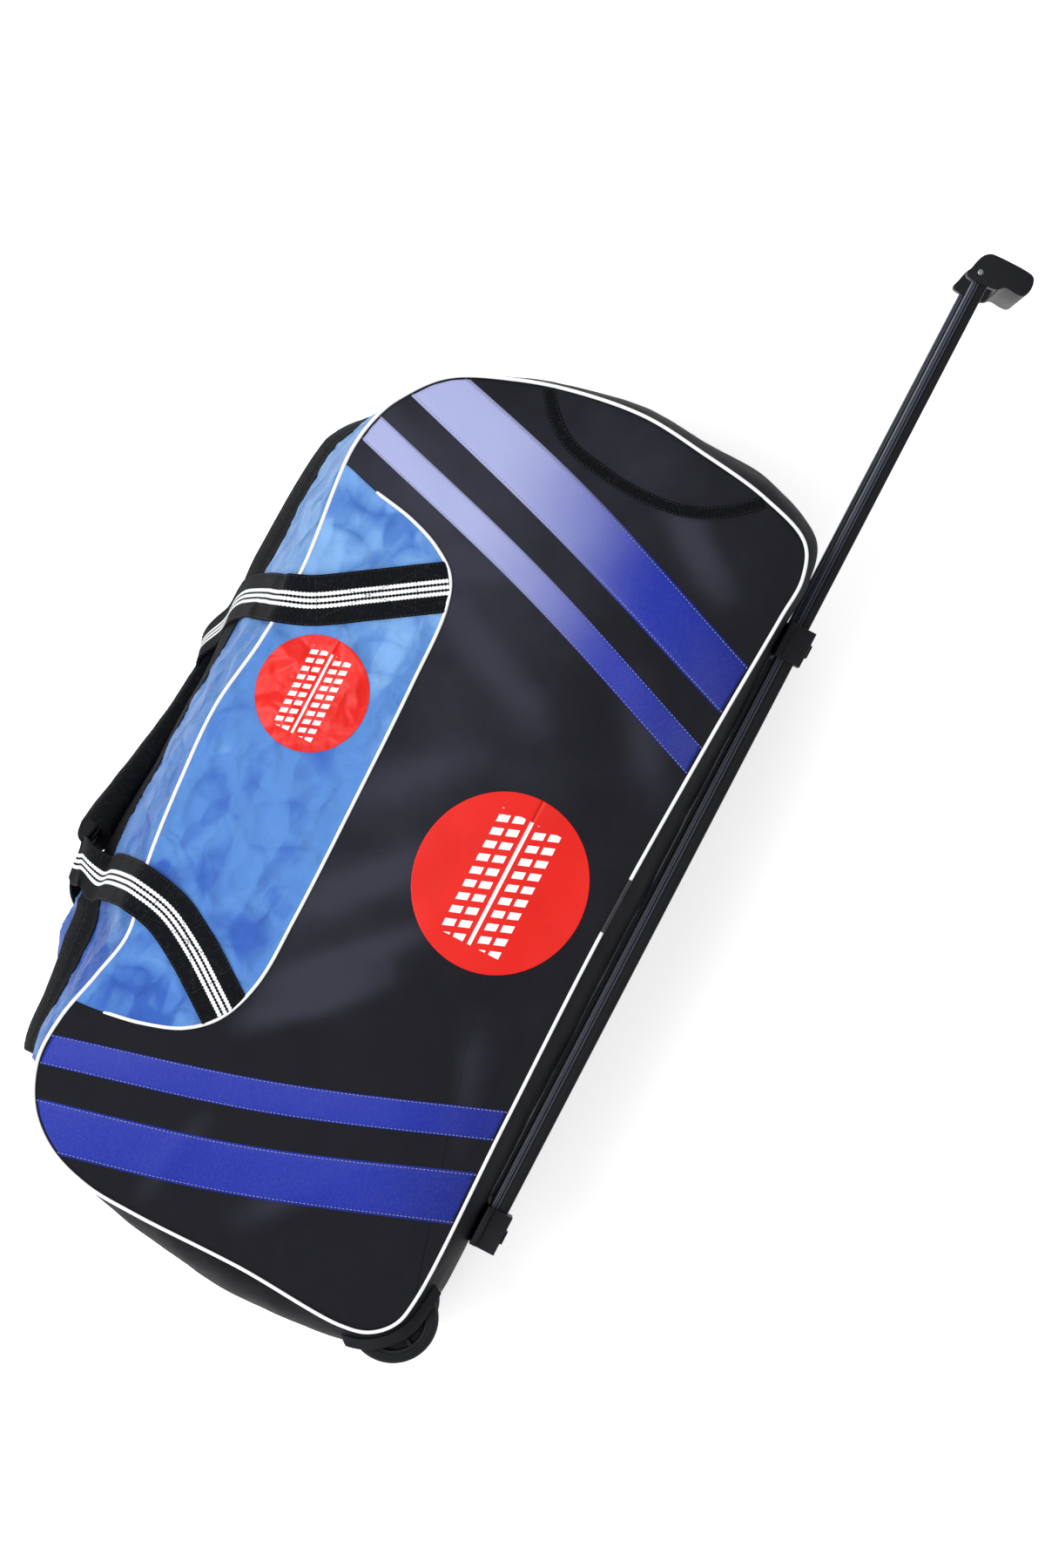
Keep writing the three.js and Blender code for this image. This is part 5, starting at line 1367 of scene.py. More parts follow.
def circle(radius, sides):
    """Points of a circle."""
    turn = np.linspace(0, 2 * math.pi, sides, endpoint=False)
    return np.column_stack([radius * np.cos(turn), radius * np.sin(turn)])


def rounded(width, height, radius, steps=4):
    """A flat rounded rectangle."""
    turn = np.linspace(0, math.pi / 2, steps)
    corners = ((1, 1, 0), (-1, 1, 1), (-1, -1, 2), (1, -1, 3))
    return np.array([
        (sx * (width / 2 - radius) + radius * math.cos(a + q * math.pi / 2),
         sy * (height / 2 - radius) + radius * math.sin(a + q * math.pi / 2))
        for sx, sy, q in corners for a in turn
    ])


def cord(name, points, radius, tone, node, closed=False):
    """A round cord along a line."""
    piece = swept(name, points, facing_up(points), circle(radius, 12), closed)
    finished(piece, FINISHES[f"{tone} cord"], BAG, f"piping_{tone}", node)


def build_cords():
    body = shape()
    radius = body.size.piping
    start, end = (body.place_on("base", share * body.half[0]) for share in SLEEVE)
    before, after = start - 0.0002, end + 0.0002
    runs = (
        ("piping_front_cord", "piping_front", "white", body.front, end, 1 + start, radius),
        ("piping_joint_sleeve", "piping_joint", "black", body.front, before, after, 1.2 * radius),
        ("piping_back_cord", "piping_back", "black", body.size.back_tuck, 0, 1, radius),
    )
    for name, node, tone, z, first, last, thick in runs:
        closed = last - first == 1
        flat, out = body.seam(np.linspace(first, last, 900, endpoint=not closed))
        wave = crumple(np.column_stack([flat, np.full(len(flat), z)]), 0.03, 41) * 0.3 * MM
        points = np.column_stack([flat + out * 0.4 * MM, z + wave + 0.3 * MM])
        cord(name, points, thick, tone, node, closed)
    path = Path(np.array(YOKE_EDGE[YOKE_CORD_ROWS]) * body.half[:2])
    points = on_front(body, path.at(path.even(420)), 0.7 * radius)
    place = np.arange(len(points))
    points[:, 2] -= (1 - np.minimum(1, np.minimum(place, place[::-1]) / 12)) * 2.4 * MM
    cord("yoke_cord", points, radius, "white", "yoke_piping")


def build_zip():
    body = shape()
    u = np.linspace(body.mark("zip handle end") - 0.001, body.mark("zip wheel end") + 0.001, 420)
    tapes = (("front", FRONT_TAPE_EDGE + 0.012, CHAIN_DEPTH), ("back", CHAIN_DEPTH, BACK_TAPE_EDGE - 0.012))
    for name, high, low in tapes:
        depth = np.linspace(high, low, 8)[None]
        points = body.gusset(u[:, None], depth) + body.facing(u[:, None], depth) * (-0.9 * MM)
        run = np.broadcast_to(run_of(points[:, 0])[:, None], points.shape[:2])
        piece = sheet(f"zip_tape_{name}_cloth", points, np.dstack([run, (depth + 0 * run) * body.half[2]]))
        wall(piece, MM)
        finished(piece, FINISHES["tape"], BAG, "webbing_black", f"zip_tape_{name}")
    middle = np.full(len(u), CHAIN_DEPTH)
    normal = body.facing(u, middle)
    line = body.gusset(u, middle) + normal * 0.2 * MM
    along = unit(np.gradient(line, axis=0))
    across = unit(np.cross(along, normal))
    tooth, pitch = pill("tooth", (1.5 * MM, 3.4 * MM, 2.2 * MM)), body.size.tooth
    rows = [(line + across * side * 1.25 * MM + along * (side * 0.25 * pitch), normal) for side in (-1, 1)]
    chain = repeated("zip_teeth", rows, tooth, pitch, FINISHES["teeth"], 0.0)
    bpy.data.objects.remove(tooth)
    finished(chain, FINISHES["teeth"], BAG, "zip_teeth", "zip_chain")
    slider = softened(copy_of("zip_slider", "zip_slider_body"), 0.9 * MM)
    finished(slider, FINISHES["steel"], BAG, "bare_metal", "zip_slider")


# Heights across the bag of the three rows of a stripe's lines, in metres.
STRIPE_HEIGHTS = (0.204, 0.0, -0.204)
def stripe_grid(body, inner, outer, columns=14, rows=130):
    """A grid of a stripe: it ends where its lines meet the seam's inset."""
    edge = moved(body.ring, body.size.stripe_inset)
    lines = []
    for xs in (inner, outer):
        line = Path(np.column_stack([np.array(xs) * body.half[0], STRIPE_HEIGHTS])).at(np.linspace(0, 1, 900))
        more = line[-1] + (line[-1] - line[-2]) * np.linspace(1, 60, 60)[:, None]
        before = line[0] + (line[0] - line[1]) * np.linspace(60, 1, 60)[:, None]
        lines.append(np.vstack([before, line, more]))
    grid = []
    for c in np.linspace(0, 1, columns):
        line = lines[0] * (1 - c) + lines[1] * c
        inside = np.where(within(line, edge))[0]
        grid.append(evenly(line[inside[0]:inside[-1] + 1], rows))
    return np.array(grid)


def stripes(body):
    """Four satin bands, with a painted reflection towards the zip side at the handle end."""
    for name, inner, outer in STRIPES:
        grid = stripe_grid(body, inner, outer)
        place = np.arange(len(grid))
        edge = np.minimum(1, np.minimum(place, place[::-1]) / 1.5)[:, None]
        run = np.array([run_of(line) for line in grid])
        uv = np.dstack([run, np.broadcast_to(np.linspace(0, 0.04, len(grid))[:, None], run.shape)])
        piece = sheet(name + "_band", on_front(body, grid, (0.35 + 0.45 * edge) * MM), uv)
        # Painted reflection: its share grows towards the zip side.
        pale = np.clip((grid[..., 1] + 0.105) / 0.2, 0, 1)
        attribute(piece, "sheen", pale if "handle" in name else 0 * pale - 0.15)
        wall(piece, BAND)
        finished(piece, FINISHES["stripe"], BAG, "stripe_blue", name)


def end_patch(body):
    """The half-round patch at the handle end and the tape round it."""
    path = Path(np.array(PATCH_EDGE) * body.half[:2])
    edge = path.at(path.even(160))
    edge = edge[body.share(edge[:, 0], edge[:, 1]) < 0.992]
    fine = np.linspace(body.mark("base handle end"), body.mark("handle shoulder"), 3000)
    seam, _ = body.seam(fine)
    first, last = (fine[nearest(seam, edge[k])] for k in (0, -1))
    outer = evenly(body.seam(np.linspace(first, last, 600))[0] * 0.995, len(edge))
    t = np.linspace(0, 1, 18)[:, None, None]
    grid = edge[None] * (1 - t) + outer[None] * t
    piece = sheet("end_patch_cloth", on_front(body, grid, MM), grid)
    wall(piece, 0.8 * MM)
    finished(piece, FINISHES["black"], BAG, "cloth_black", "end_patch")
    section = rounded(body.size.tape_width, 1.8 * MM, 0.85 * MM)
    tape = swept("patch_tape", on_front(body, edge, 1.3 * MM), facing_up(edge), section)
    finished(tape, FINISHES["tape"], BAG, "webbing_black", "patch_binding")


def roundels(body):
    """The printed discs, laid on what is under them."""
    shares = np.concatenate([np.linspace(0, 0.96, 30), [0.99, 1]])
    turn = np.linspace(0, 2 * math.pi, 145)
    spread = np.dstack([np.outer(shares, np.cos(turn)), np.outer(shares, np.sin(turn))])
    for name, under, x, y, *reach in ROUNDELS:
        flat = np.array((x, y)) * body.half[:2] + spread * np.array(reach) * MM
        points = np.dstack([flat, np.full(flat.shape[:2], body.front + 0.03)]).reshape(-1, 3)
        points = dropped(surface(under), points, 0.6 * MM).reshape(*flat.shape[:2], 3)
        piece = sheet(name, points, spread)
        wall(piece, PRINT)
        finished(piece, FINISHES["print"], BAG, None)


def build_trim():
    body = shape()
    stripes(body)
    end_patch(body)
    roundels(body)


# From one layer of folded webbing to the next, and how far webbing stands off the cloth.
LAYER_STEP, LIFT = 3.4 * MM, 0.9 * MM
def handle_stop(body, kind, row, layer):
    """Centre point and facing of a row of a handle's table."""
    half = body.half
    if kind == "panel":
        x, y = row[0] * half[0], row[1] * half[1]
        return np.array((x, y, body.height(x, y) + LIFT)), np.array((0, 0, 1.0))
    if kind == "side":
        u = body.place_on("zip", row[0] * half[0])
        near = max(0, (abs(row[1]) - 0.9) / 0.1)
        high, low = body.gusset(u, min(row[1] + 0.04, 1))[0], body.gusset(u, max(row[1] - 0.04, -1))[0]
        facing = unit(np.cross((1, 0, 0), low - high))
        facing = unit(facing * (1 - 0.6 * near) + np.array((0, 0, np.sign(row[1]))) * 0.6 * near)
        lift = row[2] * 0.008 + LIFT + 2 * body.size.piping * near
        return body.gusset(u, row[1])[0] + facing * lift, facing
    y = half[1] + row[1] * body.size.ridge + layer * LAYER_STEP
    lean, roll = (tuple(row[3:]) + (0, 0))[:2]
    facing = unit(np.array((-math.sin(roll), math.cos(roll) * math.cos(lean), math.sin(lean))))
    return np.array((row[0] * half[0], y, body.middle + row[2] * half[2])), facing


def handle_stops(body, table, layer):
    """Lines of the centre points and facings of a handle's webbing."""
    stops = [handle_stop(body, kind, row, layer) for kind, rows in table for row in rows]
    places, facings = zip(*stops)
    return Path(places), Path(facings)


def laid(points, facing, trees):
    """Points pushed out until they lie on all the surfaces under them."""
    push = np.zeros(points.shape[:2])
    for i, j in np.ndindex(push.shape):
        p, f = Vector(points[i, j]), Vector(facing[i])
        for tree in trees:
            hit, _, _, _ = tree.ray_cast(p + f * 0.03, -f, 0.034)
            if hit is not None:
                push[i, j] = max(push[i, j], (hit - p).dot(f) + LIFT)
    return points + facing[:, None] * eased(push, 30)[..., None]


def strap(name, body, table, layer, trees):
    """Webbing along a handle: a thick band that lies on the cloth under it."""
    path, faces = handle_stops(body, table, layer)
    share = path.even(420)
    centre, facing = path.at(share), unit(faces.at(share))
    along = unit(np.gradient(centre, axis=0))
    across = unit(np.cross(along, facing))
    facing = np.cross(across, along)
    offsets = np.linspace(-0.5, 0.5, 11) * body.size.webbing_width
    points = centre[:, None] + across[:, None] * offsets[None, :, None]
    points = trimmed(body, laid(points, facing, trees))
    half = facing[:, None] * (body.size.webbing / 2)
    loop = np.concatenate([points[:, ::-1] - half, points + half], 1)
    count, sides = loop.shape[:2]
    v = np.concatenate([offsets[::-1], offsets])
    uv = np.dstack([np.broadcast_to(run_of(centre)[:, None], (count, sides)), np.tile(v, (count, 1))])
    ends = [tuple(range(sides))[::-1], tuple(range((count - 1) * sides, count * sides))]
    piece = new_piece(name, loop.reshape(-1, 3), grid_faces(count, sides, ring=True) + ends, uv.reshape(-1, 2))
    outward(piece)
    smoothed(bevelled(piece, 0.7 * MM, 2, 50))
    finished(piece, FINISHES["webbing"], BAG, "webbing_black")
    return piece, points, facing


def trimmed(body, points):
    """Webbing that starts on the front panel stops at the yoke's cord: its lines are drawn back to it."""
    inside = under_yoke(body, points[..., :2].reshape(-1, 2)).reshape(points.shape[:2]) > -0.4 * MM
    inside |= points[..., 2] < body.front - 0.004
    count, reach = len(points), 46
    for j in range(points.shape[1]):
        column = points[:, j].copy()
        kept = np.where(inside[:, j])[0]
        index = np.arange(count, dtype=float)
        index = index + kept[0] * np.clip(1 - index / reach, 0, 1)
        index = index - (count - 1 - kept[-1]) * np.clip(1 - (count - 1 - index) / reach, 0, 1)
        points[:, j] = np.stack([np.interp(index, np.arange(count), column[:, k]) for k in range(3)], 1)
    return points


def eased(values, times):
    """A grid of values with soft slopes round its peaks, nowhere lower than it was."""
    grid = np.pad(values, ((1, 1), (1, 1)), "edge")
    for _ in range(times):
        around = grid[:-2, 1:-1] + grid[2:, 1:-1] + grid[1:-1, :-2] + grid[1:-1, 2:]
        grid[1:-1, 1:-1] = np.maximum(values, (around + 4 * grid[1:-1, 1:-1]) / 8)
        grid[0], grid[-1] = grid[1], grid[-2]
        grid[:, 0], grid[:, -1] = grid[:, 1], grid[:, -2]
    return grid[1:-1, 1:-1]


# Straps that the stitching lies on: points and facings of the front handle.
STRAPS = {}


def wrap_line(body):
    """The middle of the padded wrap: it follows the folded webbing."""
    rows = []
    for x, rise, aside in (WRAP_START,) + WRAP_LINE:
        y = body.half[1] + rise * body.size.ridge + 0.5 * (LAYER_STEP + body.size.webbing)
        rows.append((x * body.half[0], y, body.middle + aside * body.half[2]))
    path = Path(rows)
    fine = path.at(path.even(400))
    start, end = np.array(WRAP_ENDS) * body.half[0]
    return evenly(fine[(fine[:, 0] < start) & (fine[:, 0] > end)], 110)


def padded_wrap(body):
    """The padded wrap that holds both handles: a swept oval, puffed and fuller towards one end."""
    line = wrap_line(body)
    turn = np.linspace(0, 2 * math.pi, 64, endpoint=False)
    half_width, half_thickness = body.size.wrap_width / 2, body.size.wrap_thickness / 2
    c, s = np.cos(turn), np.sin(turn)
    wide, thick = np.sign(c) * np.abs(c) ** 0.8, np.sign(s) * np.abs(s) ** 0.62
    oval = np.column_stack([half_width * wide, half_thickness * thick])
    wrap = swept("handle_wrap_pad", line, np.tile((0, 1.0, 0), (len(line), 1)), oval)
    co = np.array([v.co for v in wrap.data.vertices])
    share = np.repeat(np.linspace(0, 1, len(line)), len(oval))
    middle = np.repeat(line, len(oval), axis=0)
    puff = crumple(co, 0.03, 51) * 0.9 + crumple(co, 0.012, 53) * 0.35
    ends = 1 - 0.06 * ramp(np.abs(share - 0.5), 0.49, 0.5)
    full = np.column_stack([ends, ends * (0.62 + 0.9 * share), ends])
    co = middle + (co - middle) * full + unit(co - middle) * (puff * MM)[:, None]
    wrap.data.vertices.foreach_set("co", co.ravel())
    wrap.data.update()
    finished(wrap, FINISHES["tape"], BAG, "cloth_black", "handle_wrap")


def build_handles():
    body = shape()
    under = ("front_panel", "yoke", "top_gusset_front", "top_gusset_back")
    trees = [surface(name + "_cloth") for name in under] + [surface("piping_front_cord")]
    back, _, _ = strap("handle_back_webbing", body, BACK_HANDLE, 0, trees)
    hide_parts("handle_back")
    trees.append(surface("handle_back_webbing"))
    front, points, facing = strap("handle_front_webbing", body, FRONT_HANDLE, 1, trees)
    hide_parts("handle_front")
    STRAPS["front"] = (points, facing)
    padded_wrap(body)


def grooved(size, radius, grooves, deep=0.9 * MM, wide=1.1 * MM):
    """Section of a square bar with grooves along its two broad faces, as (z, y)."""
    half = size / 2
    outline = [tuple(p) for p in rounded(size, size, radius)]
    points = []
    for p, q in zip(outline, outline[1:] + outline[:1]):
        points.append(p)
        if abs(p[0] - q[0]) < 1e-9 and abs(abs(p[0]) - half) < 1e-9:
            x, inner = p[0], p[0] - math.copysign(deep, p[0])
            way = 1 if q[1] > p[1] else -1
            for groove in sorted(grooves, reverse=bool(p[1] > q[1])):
                steps = ((x, -wide / 2), (inner, -wide / 4), (inner, wide / 4), (x, wide / 2))
                points += [(side, groove * size + way * step) for side, step in steps]
    return np.array(points)


# From one tube of the trolley to the other, and the radius of the bars' edges with the places of their grooves.
TUBE_SPACING = 0.18
BAR_EDGE, BAR_GROOVES = 1.8 * MM, (-0.02, 0.17)
def build_trolley():
    body = shape()
    low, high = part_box("rod_near")
    y = (low.y + high.y) / 2
    for name, side in SIDES:
        z = body.middle + side * TUBE_SPACING / 2
        for part, moves_with in (("rod", TROLLEY), ("tube", BAG)):
            low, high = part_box(f"{part}_near")
            line = np.column_stack([np.linspace(low.x, high.x, 12), np.full(12, y), np.full(12, z)])
            section = grooved(high.y - low.y, BAR_EDGE, BAR_GROOVES)
            bar = swept(f"{part}_{name}_bar", line, np.tile((0, 1.0, 0), (12, 1)), section)
            finished(smoothed(bar, 35), FINISHES["rods"], moves_with, "anodised_black", f"{part}_{name}")
        screw = softened(copy_of(f"grip_screw_{name}", f"grip_screw_{name}_head"), 0.5 * MM)
        finished(screw, FINISHES["steel"], TROLLEY, "bare_metal", f"grip_screw_{name}")

    low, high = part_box("grip")
    face, reach, tall = low.x, high.x - low.x, (high.y - low.y) / 1.015
    profile = Path(np.array(GRIP_PROFILE), closed=True)
    outline = profile.at(profile.even(73)[:-1]) * (reach, tall) + (face, y)
    grip = prism("grip_handle", outline, low.z, high.z)
    arm = 0.022
    hand = box_piece((face - reach, y - 0.3 * tall, low.z + arm), (face + 2 * reach, y + tall, high.z - arm))
    cut(grip, hand)
    softened(grip, 2.4 * MM, 4, 32)
    finished(grip, FINISHES["plastic"], TROLLEY, "plastic_black", "grip")
    for name in ("bracket_lower", "bracket_upper"):
        piece = softened(copy_of(name, name + "_moulding"), 1.6 * MM)
        finished(piece, FINISHES["plastic"], BAG, "plastic_black", name)


def box_piece(low, high):
    """A block between two corners."""
    outline = [(low[0], low[1]), (high[0], low[1]), (high[0], high[1]), (low[0], high[1])]
    return prism("box", outline, low[2], high[2])


# Tyres: half their width, the depth of their rubber. Axles: radius, its slope at the ends, the bore round it.
TYRE_HALF, RUBBER = 14 * MM, 9 * MM
AXLE_RADIUS, AXLE_SLOPE, BORE_RADIUS = 4 * MM, 0.6 * MM, 4.3 * MM
def tyre_profile(radius):
    """Closed section of a tyre with two grooves, as (radius, height)."""
    rim = []
    for z in np.linspace(-0.62, 0.62, 15):
        groove = 1.3 * MM if abs(abs(z) - 0.31) < 0.05 else 0
        rim.append((radius - groove - 1.6 * MM * abs(z) ** 3, z * TYRE_HALF))
    side = -TYRE_HALF
    shoulder = [(radius - RUBBER, side), (radius - 5 * MM, side), (radius - 2.2 * MM, 0.86 * side)]
    return shoulder + rim + [(r, -z) for r, z in reversed(shoulder)]


def axle_profile(long):
    """Closed section of an axle, as (radius, height)."""
    narrow = AXLE_RADIUS - 0.4 * MM
    start = [(0, 0), (narrow, 0), (AXLE_RADIUS, AXLE_SLOPE)]
    return start + [(AXLE_RADIUS, long - AXLE_SLOPE), (narrow, long), (0, long)]


def wheel_housing(body, name, centre, low, high):
    """A cup open to the base and the wheel end, with a bore for the axle."""
    middle, over = (low + high) / 2, 0.01
    housing = disc(f"wheel_housing_{name}_cup", centre, CUP_RADIUS, low, high)
    seam, out = body.seam(np.linspace(0, 1, 260, endpoint=False))
    trim = prism("trim", seam + out * 18.5 * MM, low - over, high + over)
    reach = TYRE_HALF + MM
    hollow = disc("hollow", centre, CUP_RADIUS - CUP_WALL, middle - reach, middle + reach)
    bore = disc("bore", centre, BORE_RADIUS, low - over, high + over, 24)
    cut(housing, trim, operation="INTERSECT")
    cut(housing, hollow, bore)
    softened(housing, 0.9 * MM, 2, 35)
    finished(housing, FINISHES["plastic"], BAG, "plastic_black", f"wheel_housing_{name}")


def build_wheels():
    body = shape()
    radius = body.size.tyre_radius
    for name, _ in SIDES:
        low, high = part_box(f"axle_{name}")
        centre = ((low.x + high.x) / 2, (low.y + high.y) / 2)
        middle, turns_with = (low.z + high.z) / 2, f"wheel_{name}"
        tyre = turned(f"tyre_{name}_rubber", tyre_profile(radius), centre, middle, 96)
        tyre.data.set_sharp_from_angle(angle=math.radians(40))
        finished(tyre, FINISHES["rubber"], turns_with, "tyre_black", f"tyre_{name}")
        hub = hub_piece(f"hub_{name}_spokes", centre, middle, radius - RUBBER - 0.3 * MM)
        finished(hub, FINISHES["plastic"], turns_with, "plastic_black", f"hub_{name}")
        axle = turned(f"axle_{name}_pin", axle_profile(high.z - low.z), centre, low.z, 32)
        finished(axle, FINISHES["steel"], BAG, "bare_metal", f"axle_{name}")
        wheel_housing(body, name, centre, low.z, high.z)


def hub_piece(name, centre, middle, rim):
    """A hub: rim, web with ribs and a boss round the axle."""
    half, web_half, boss = 13 * MM, 3 * MM, 8.3 * MM
    section = [
        (BORE_RADIUS, -half), (boss, -half), (boss + 0.5 * MM, -web_half),
        (rim - 4 * MM, -web_half), (rim - 3 * MM, MM - half), (rim, MM - half),
    ]
    section += [(r, -z) for r, z in reversed(section)]
    web = turned("web", section, centre, middle, 72)
    ribs = []
    for a in np.linspace(0, 2 * math.pi, 6, endpoint=False):
        out = np.array((math.cos(a), math.sin(a)))
        aside = np.array((-out[1], out[0])) * 1.6 * MM
        near, far = np.array(centre) + out * 8 * MM, np.array(centre) + out * (rim - 2 * MM)
        tall = half - 2.5 * MM
        outline = [near - aside, far - aside, far + aside, near + aside]
        ribs.append(prism("rib", outline, middle - tall, middle + tall))
    hub = joined(name, web, *ribs)
    hub.data.set_sharp_from_angle(angle=math.radians(35))
    return hub


def stitched(name, lines, thread, finish, slot):
    """Rows of stitches along lines, each a pair of points and facings."""
    rows = repeated(name, lines, thread, shape().size.stitch, FINISHES[finish])
    finished(rows, FINISHES[finish], BAG, slot)


def box_stitches(points, facing):
    """Lines of a crossed box of stitches on a length of webbing."""
    lines, count = [], len(points)
    for a, b in ((0.14, 0.86), (0.86, 0.14)):
        share = np.linspace(a, b, count) * 10
        k = np.minimum(share.astype(int), 9)
        t = (share - k)[:, None]
        rows = np.arange(count)
        lines.append((points[rows, k] * (1 - t) + points[rows, k + 1] * t + facing * 1.35 * MM, facing))
    for end in (0, count - 1):
        row = points[end][1:-1]
        lines.append((row + facing[end] * 1.35 * MM, np.tile(facing[end], (len(row), 1))))
    return lines


def build_stitching():
    body = shape()
    thread = pill("thread", (2.5 * MM, 0.75 * MM, 0.7 * MM))
    lines = []
    for name, inner, outer in STRIPES:
        grid = stripe_grid(body, inner, outer, columns=23)
        lines += [(on_front(body, line, 0.95 * MM), facing_up(line)) for line in (grid[1], grid[-2])]
    stitched("stripe_stitches", lines, thread, "grey thread", "stripe_blue")

    path = Path(np.array(PATCH_EDGE) * body.half[:2])
    edge = path.at(path.even(300))
    edge = edge[body.share(edge[:, 0], edge[:, 1]) < 0.985]
    lines = []
    for aside in (-0.4, 0.4):
        line = moved(edge, aside * body.size.tape_width)
        lines.append((on_front(body, line, 2.35 * MM), facing_up(line)))
    stitched("tape_stitches", lines, thread, "black thread", "webbing_black")

    points, facing = STRAPS["front"]
    lines = []
    for column in (0, -1):
        inset = points[:, column] * 0.93 + points[:, 5] * 0.07
        lines.append((inset + facing * (1.3 * MM), facing))
    for start, stop in ((14, 58), (len(points) - 59, len(points) - 15)):
        lines += box_stitches(points[start:stop], facing[start:stop])
    stitched("webbing_stitches", lines, thread, "black thread", "webbing_black")
    bpy.data.objects.remove(thread)


# Camera: its turn and elevation in degrees, the spot it looks at, its distance and its lens in millimetres.
CAMERA_TURN, CAMERA_RISE = 62.5, 0.5
CAMERA_TARGET, CAMERA_DISTANCE, CAMERA_LENS = (0.0858, -0.0746, 0.33), 6.5, 162.5
# Lamps: name, place, width in metres and power in watts. They look at one spot.
LAMPS = (
    ("key", (-0.6, 1.15, 2.7), 1.6, 66),
    ("fill", (-2.2, 0.2, 2.4), 2.0, 12),
    ("rim", (2.4, 0.8, 1.8), 1.4, 14),
)
LAMPS_AIM = (0.05, 0, 0.15)
FLOOR_HALF = 6
def linked(name, data):
    """An object of a camera or a lamp, in the scene."""
    piece = bpy.data.objects.new(name, data)
    bpy.context.scene.collection.objects.link(piece)
    return piece


def camera_axes(turn, elevation):
    """Directions from the target to the camera, and to the right and the top of its picture."""
    look = np.array((0, math.sin(elevation), math.cos(elevation)))
    x = np.array((1.0, 0, 0))
    y = np.cross(look, x)
    right = math.cos(turn) * x - math.sin(turn) * y
    up = math.sin(turn) * x + math.cos(turn) * y
    return look, right, up


def stage_camera():
    """The camera at the photograph's angle to the bag."""
    look, right, up = camera_axes(math.radians(CAMERA_TURN), math.radians(CAMERA_RISE))
    spot = np.array(CAMERA_TARGET) + CAMERA_DISTANCE * look
    data = bpy.data.cameras.new("camera")
    data.lens = CAMERA_LENS
    data.sensor_width = 36
    camera = linked("camera", data)
    camera.matrix_world = Matrix([*np.column_stack([right, up, look, spot]).tolist(), (0, 0, 0, 1)])
    bpy.context.scene.camera = camera
    return camera


def stage_floor():
    """A pale floor."""
    far = FLOOR_HALF
    corners = [(-far, -far, 0), (far, -far, 0), (far, far, 0), (-far, far, 0)]
    floor = new_piece("floor", corners, [(0, 1, 2, 3)], smooth=False)
    finish = Finish("pale floor", Roughness=0.9, Emission_Color=(1, 1, 1, 1), Emission_Strength=0.5)
    cloud = finish.cloudy(finish.place(), 3, 2)
    finish.feed(Base_Color=finish.mix(cloud, tuple(tints().floor), (0.93, 0.93, 0.93, 1)))
    floor.data.materials.append(finish.material)
    return floor


def stage_lamp(name, place, wide, power):
    """A square lamp that looks at the bag."""
    lamp = bpy.data.lights.new(name, "AREA")
    lamp.size = wide
    lamp.energy = power
    light = linked(name, lamp)
    turn = (Vector(place) - Vector(LAMPS_AIM)).to_track_quat("Z", "Y")
    light.matrix_world = Matrix.Translation(place) @ turn.to_matrix().to_4x4()
    return light


def build_stage():
    scene = bpy.context.scene
    camera, floor = stage_camera(), stage_floor()
    world = bpy.data.worlds.new("studio")
    world.use_nodes = True
    sky = world.node_tree.nodes["Background"].inputs
    sky["Color"].default_value = (1, 1, 1, 1)
    sky["Strength"].default_value = 0.6
    scene.world = world
    scene.view_settings.view_transform = "Standard"
    stage_parts = [floor, camera] + [stage_lamp(*row) for row in LAMPS]


class KITBAG_OT_front(bpy.types.Operator):
    """Build the front panel, its yoke and the back."""
    bl_idname = "kit_bag.front"
    bl_label = "Front, yoke and back"

    def execute(self, context):
        build_front()
        return {"FINISHED"}


class KITBAG_OT_gussets(bpy.types.Operator):
    """Build the base, the ends and the zip side."""
    bl_idname = "kit_bag.gussets"
    bl_label = "Gussets"

    def execute(self, context):
        build_gussets()
        return {"FINISHED"}


class KITBAG_OT_cords(bpy.types.Operator):
    """Build the cords in the seams."""
    bl_idname = "kit_bag.cords"
    bl_label = "Seam cords"

    def execute(self, context):
        build_cords()
        return {"FINISHED"}


class KITBAG_OT_zip(bpy.types.Operator):
    """Build the zip's tapes, teeth and slider."""
    bl_idname = "kit_bag.zip"
    bl_label = "Zip"

    def execute(self, context):
        build_zip()
        return {"FINISHED"}


class KITBAG_OT_trim(bpy.types.Operator):
    """Build the sewn bands, the end patch and the prints."""
    bl_idname = "kit_bag.trim"
    bl_label = "Stripes, patch and roundels"

    def execute(self, context):
        build_trim()
        return {"FINISHED"}


class KITBAG_OT_handles(bpy.types.Operator):
    """Build the webbing handles and their wrap."""
    bl_idname = "kit_bag.handles"
    bl_label = "Carry handles"

    def execute(self, context):
        build_handles()
        return {"FINISHED"}


class KITBAG_OT_trolley(bpy.types.Operator):
    """Build the tubes, rods, grip and brackets."""
    bl_idname = "kit_bag.trolley"
    bl_label = "Trolley"

    def execute(self, context):
        build_trolley()
        return {"FINISHED"}


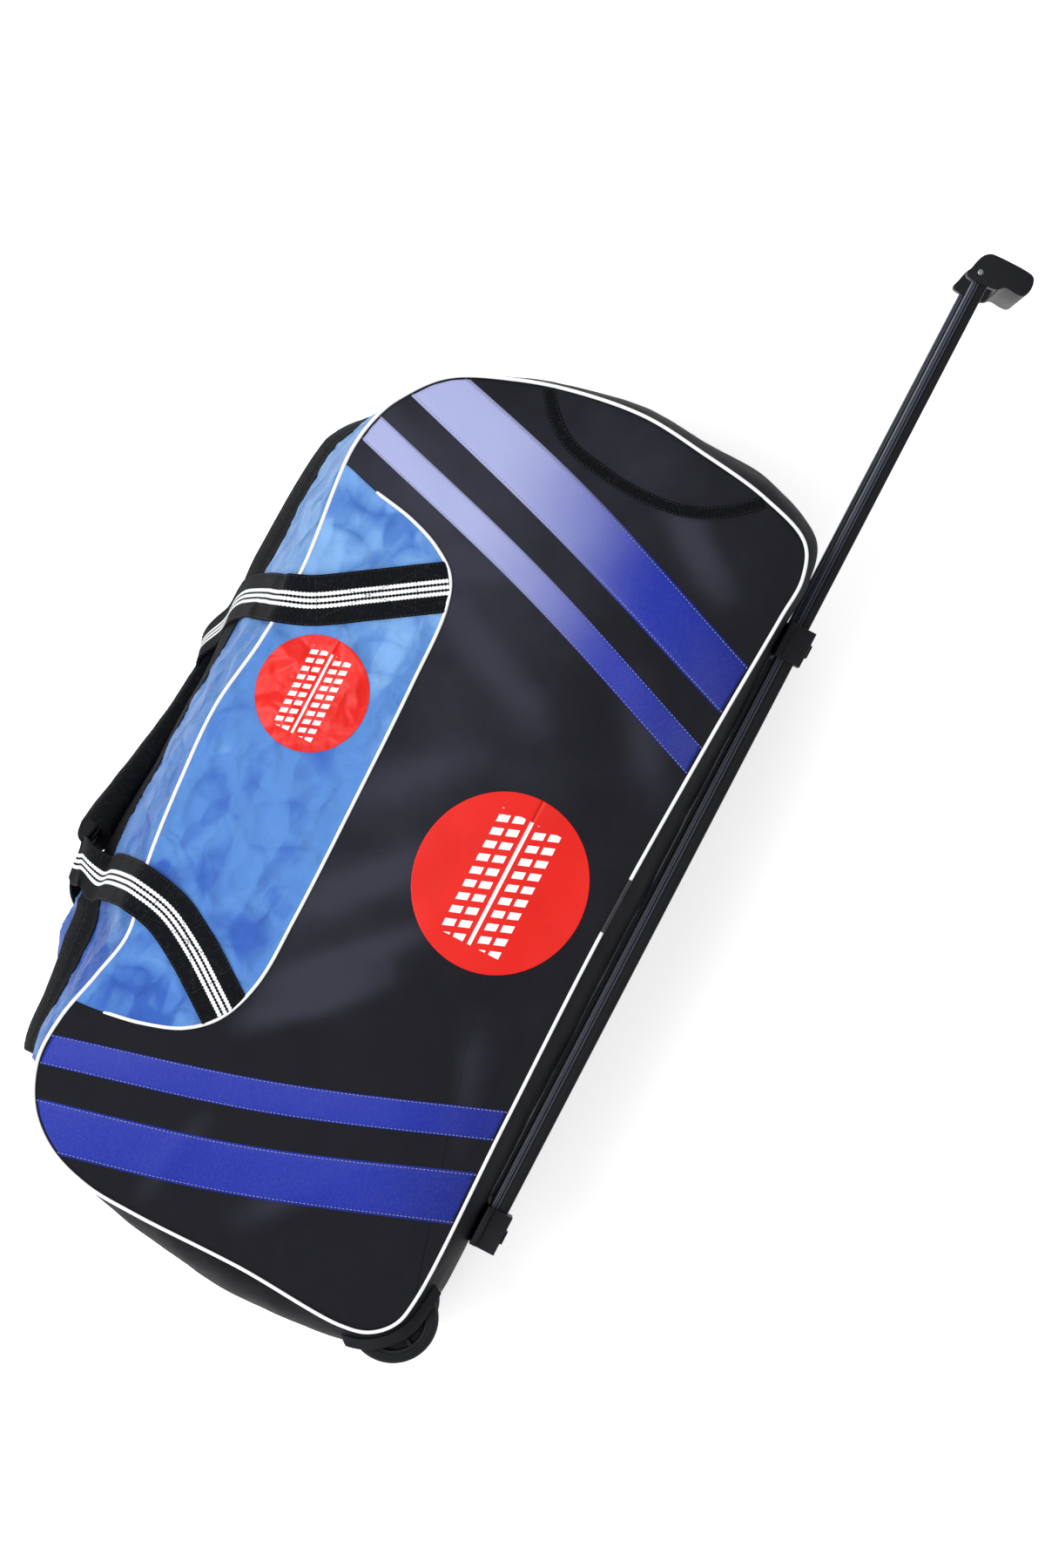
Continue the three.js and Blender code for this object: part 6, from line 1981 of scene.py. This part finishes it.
class KITBAG_OT_wheels(bpy.types.Operator):
    """Build the tyres, hubs, axles and housings."""
    bl_idname = "kit_bag.wheels"
    bl_label = "Wheels"

    def execute(self, context):
        build_wheels()
        return {"FINISHED"}


class KITBAG_OT_stitching(bpy.types.Operator):
    """Build the rows of stitches."""
    bl_idname = "kit_bag.stitching"
    bl_label = "Stitching"

    def execute(self, context):
        build_stitching()
        return {"FINISHED"}


class KITBAG_OT_stage(bpy.types.Operator):
    """Set up the floor, the light and the camera."""
    bl_idname = "kit_bag.stage"
    bl_label = "Stage"

    def execute(self, context):
        build_stage()
        return {"FINISHED"}


OPERATORS = [
    KITBAG_OT_front, KITBAG_OT_gussets, KITBAG_OT_cords, KITBAG_OT_zip, KITBAG_OT_trim,
    KITBAG_OT_handles, KITBAG_OT_trolley, KITBAG_OT_wheels, KITBAG_OT_stitching, KITBAG_OT_stage,
]


class KITBAG_PT_panel(bpy.types.Panel):
    """Sidebar panel with the steps, the sizes and the colours."""
    bl_label = "Cricket kit bag"
    bl_idname = "KITBAG_PT_panel"
    bl_space_type = "VIEW_3D"
    bl_region_type = "UI"
    bl_category = "Kit Bag"

    def draw(self, context):
        for step in OPERATORS:
            self.layout.operator(step.bl_idname)
        for group in (context.scene.kit_bag_sizes, context.scene.kit_bag_colours):
            for name in group.__annotations__:
                self.layout.prop(group, name)


CLASSES = [BagSizes, BagColours] + OPERATORS + [KITBAG_PT_panel]


def register():
    for cls in CLASSES:
        bpy.utils.register_class(cls)
    bpy.types.Scene.kit_bag_sizes = bpy.props.PointerProperty(type=BagSizes)
    bpy.types.Scene.kit_bag_colours = bpy.props.PointerProperty(type=BagColours)


def unregister():
    del bpy.types.Scene.kit_bag_sizes
    del bpy.types.Scene.kit_bag_colours
    for cls in reversed(CLASSES):
        bpy.utils.unregister_class(cls)


def main():
    register()
    make_finishes(tints())
    for step in OPERATORS:
        getattr(bpy.ops.kit_bag, step.bl_idname.split(".")[1])()


if __name__ == "__main__":
    main()
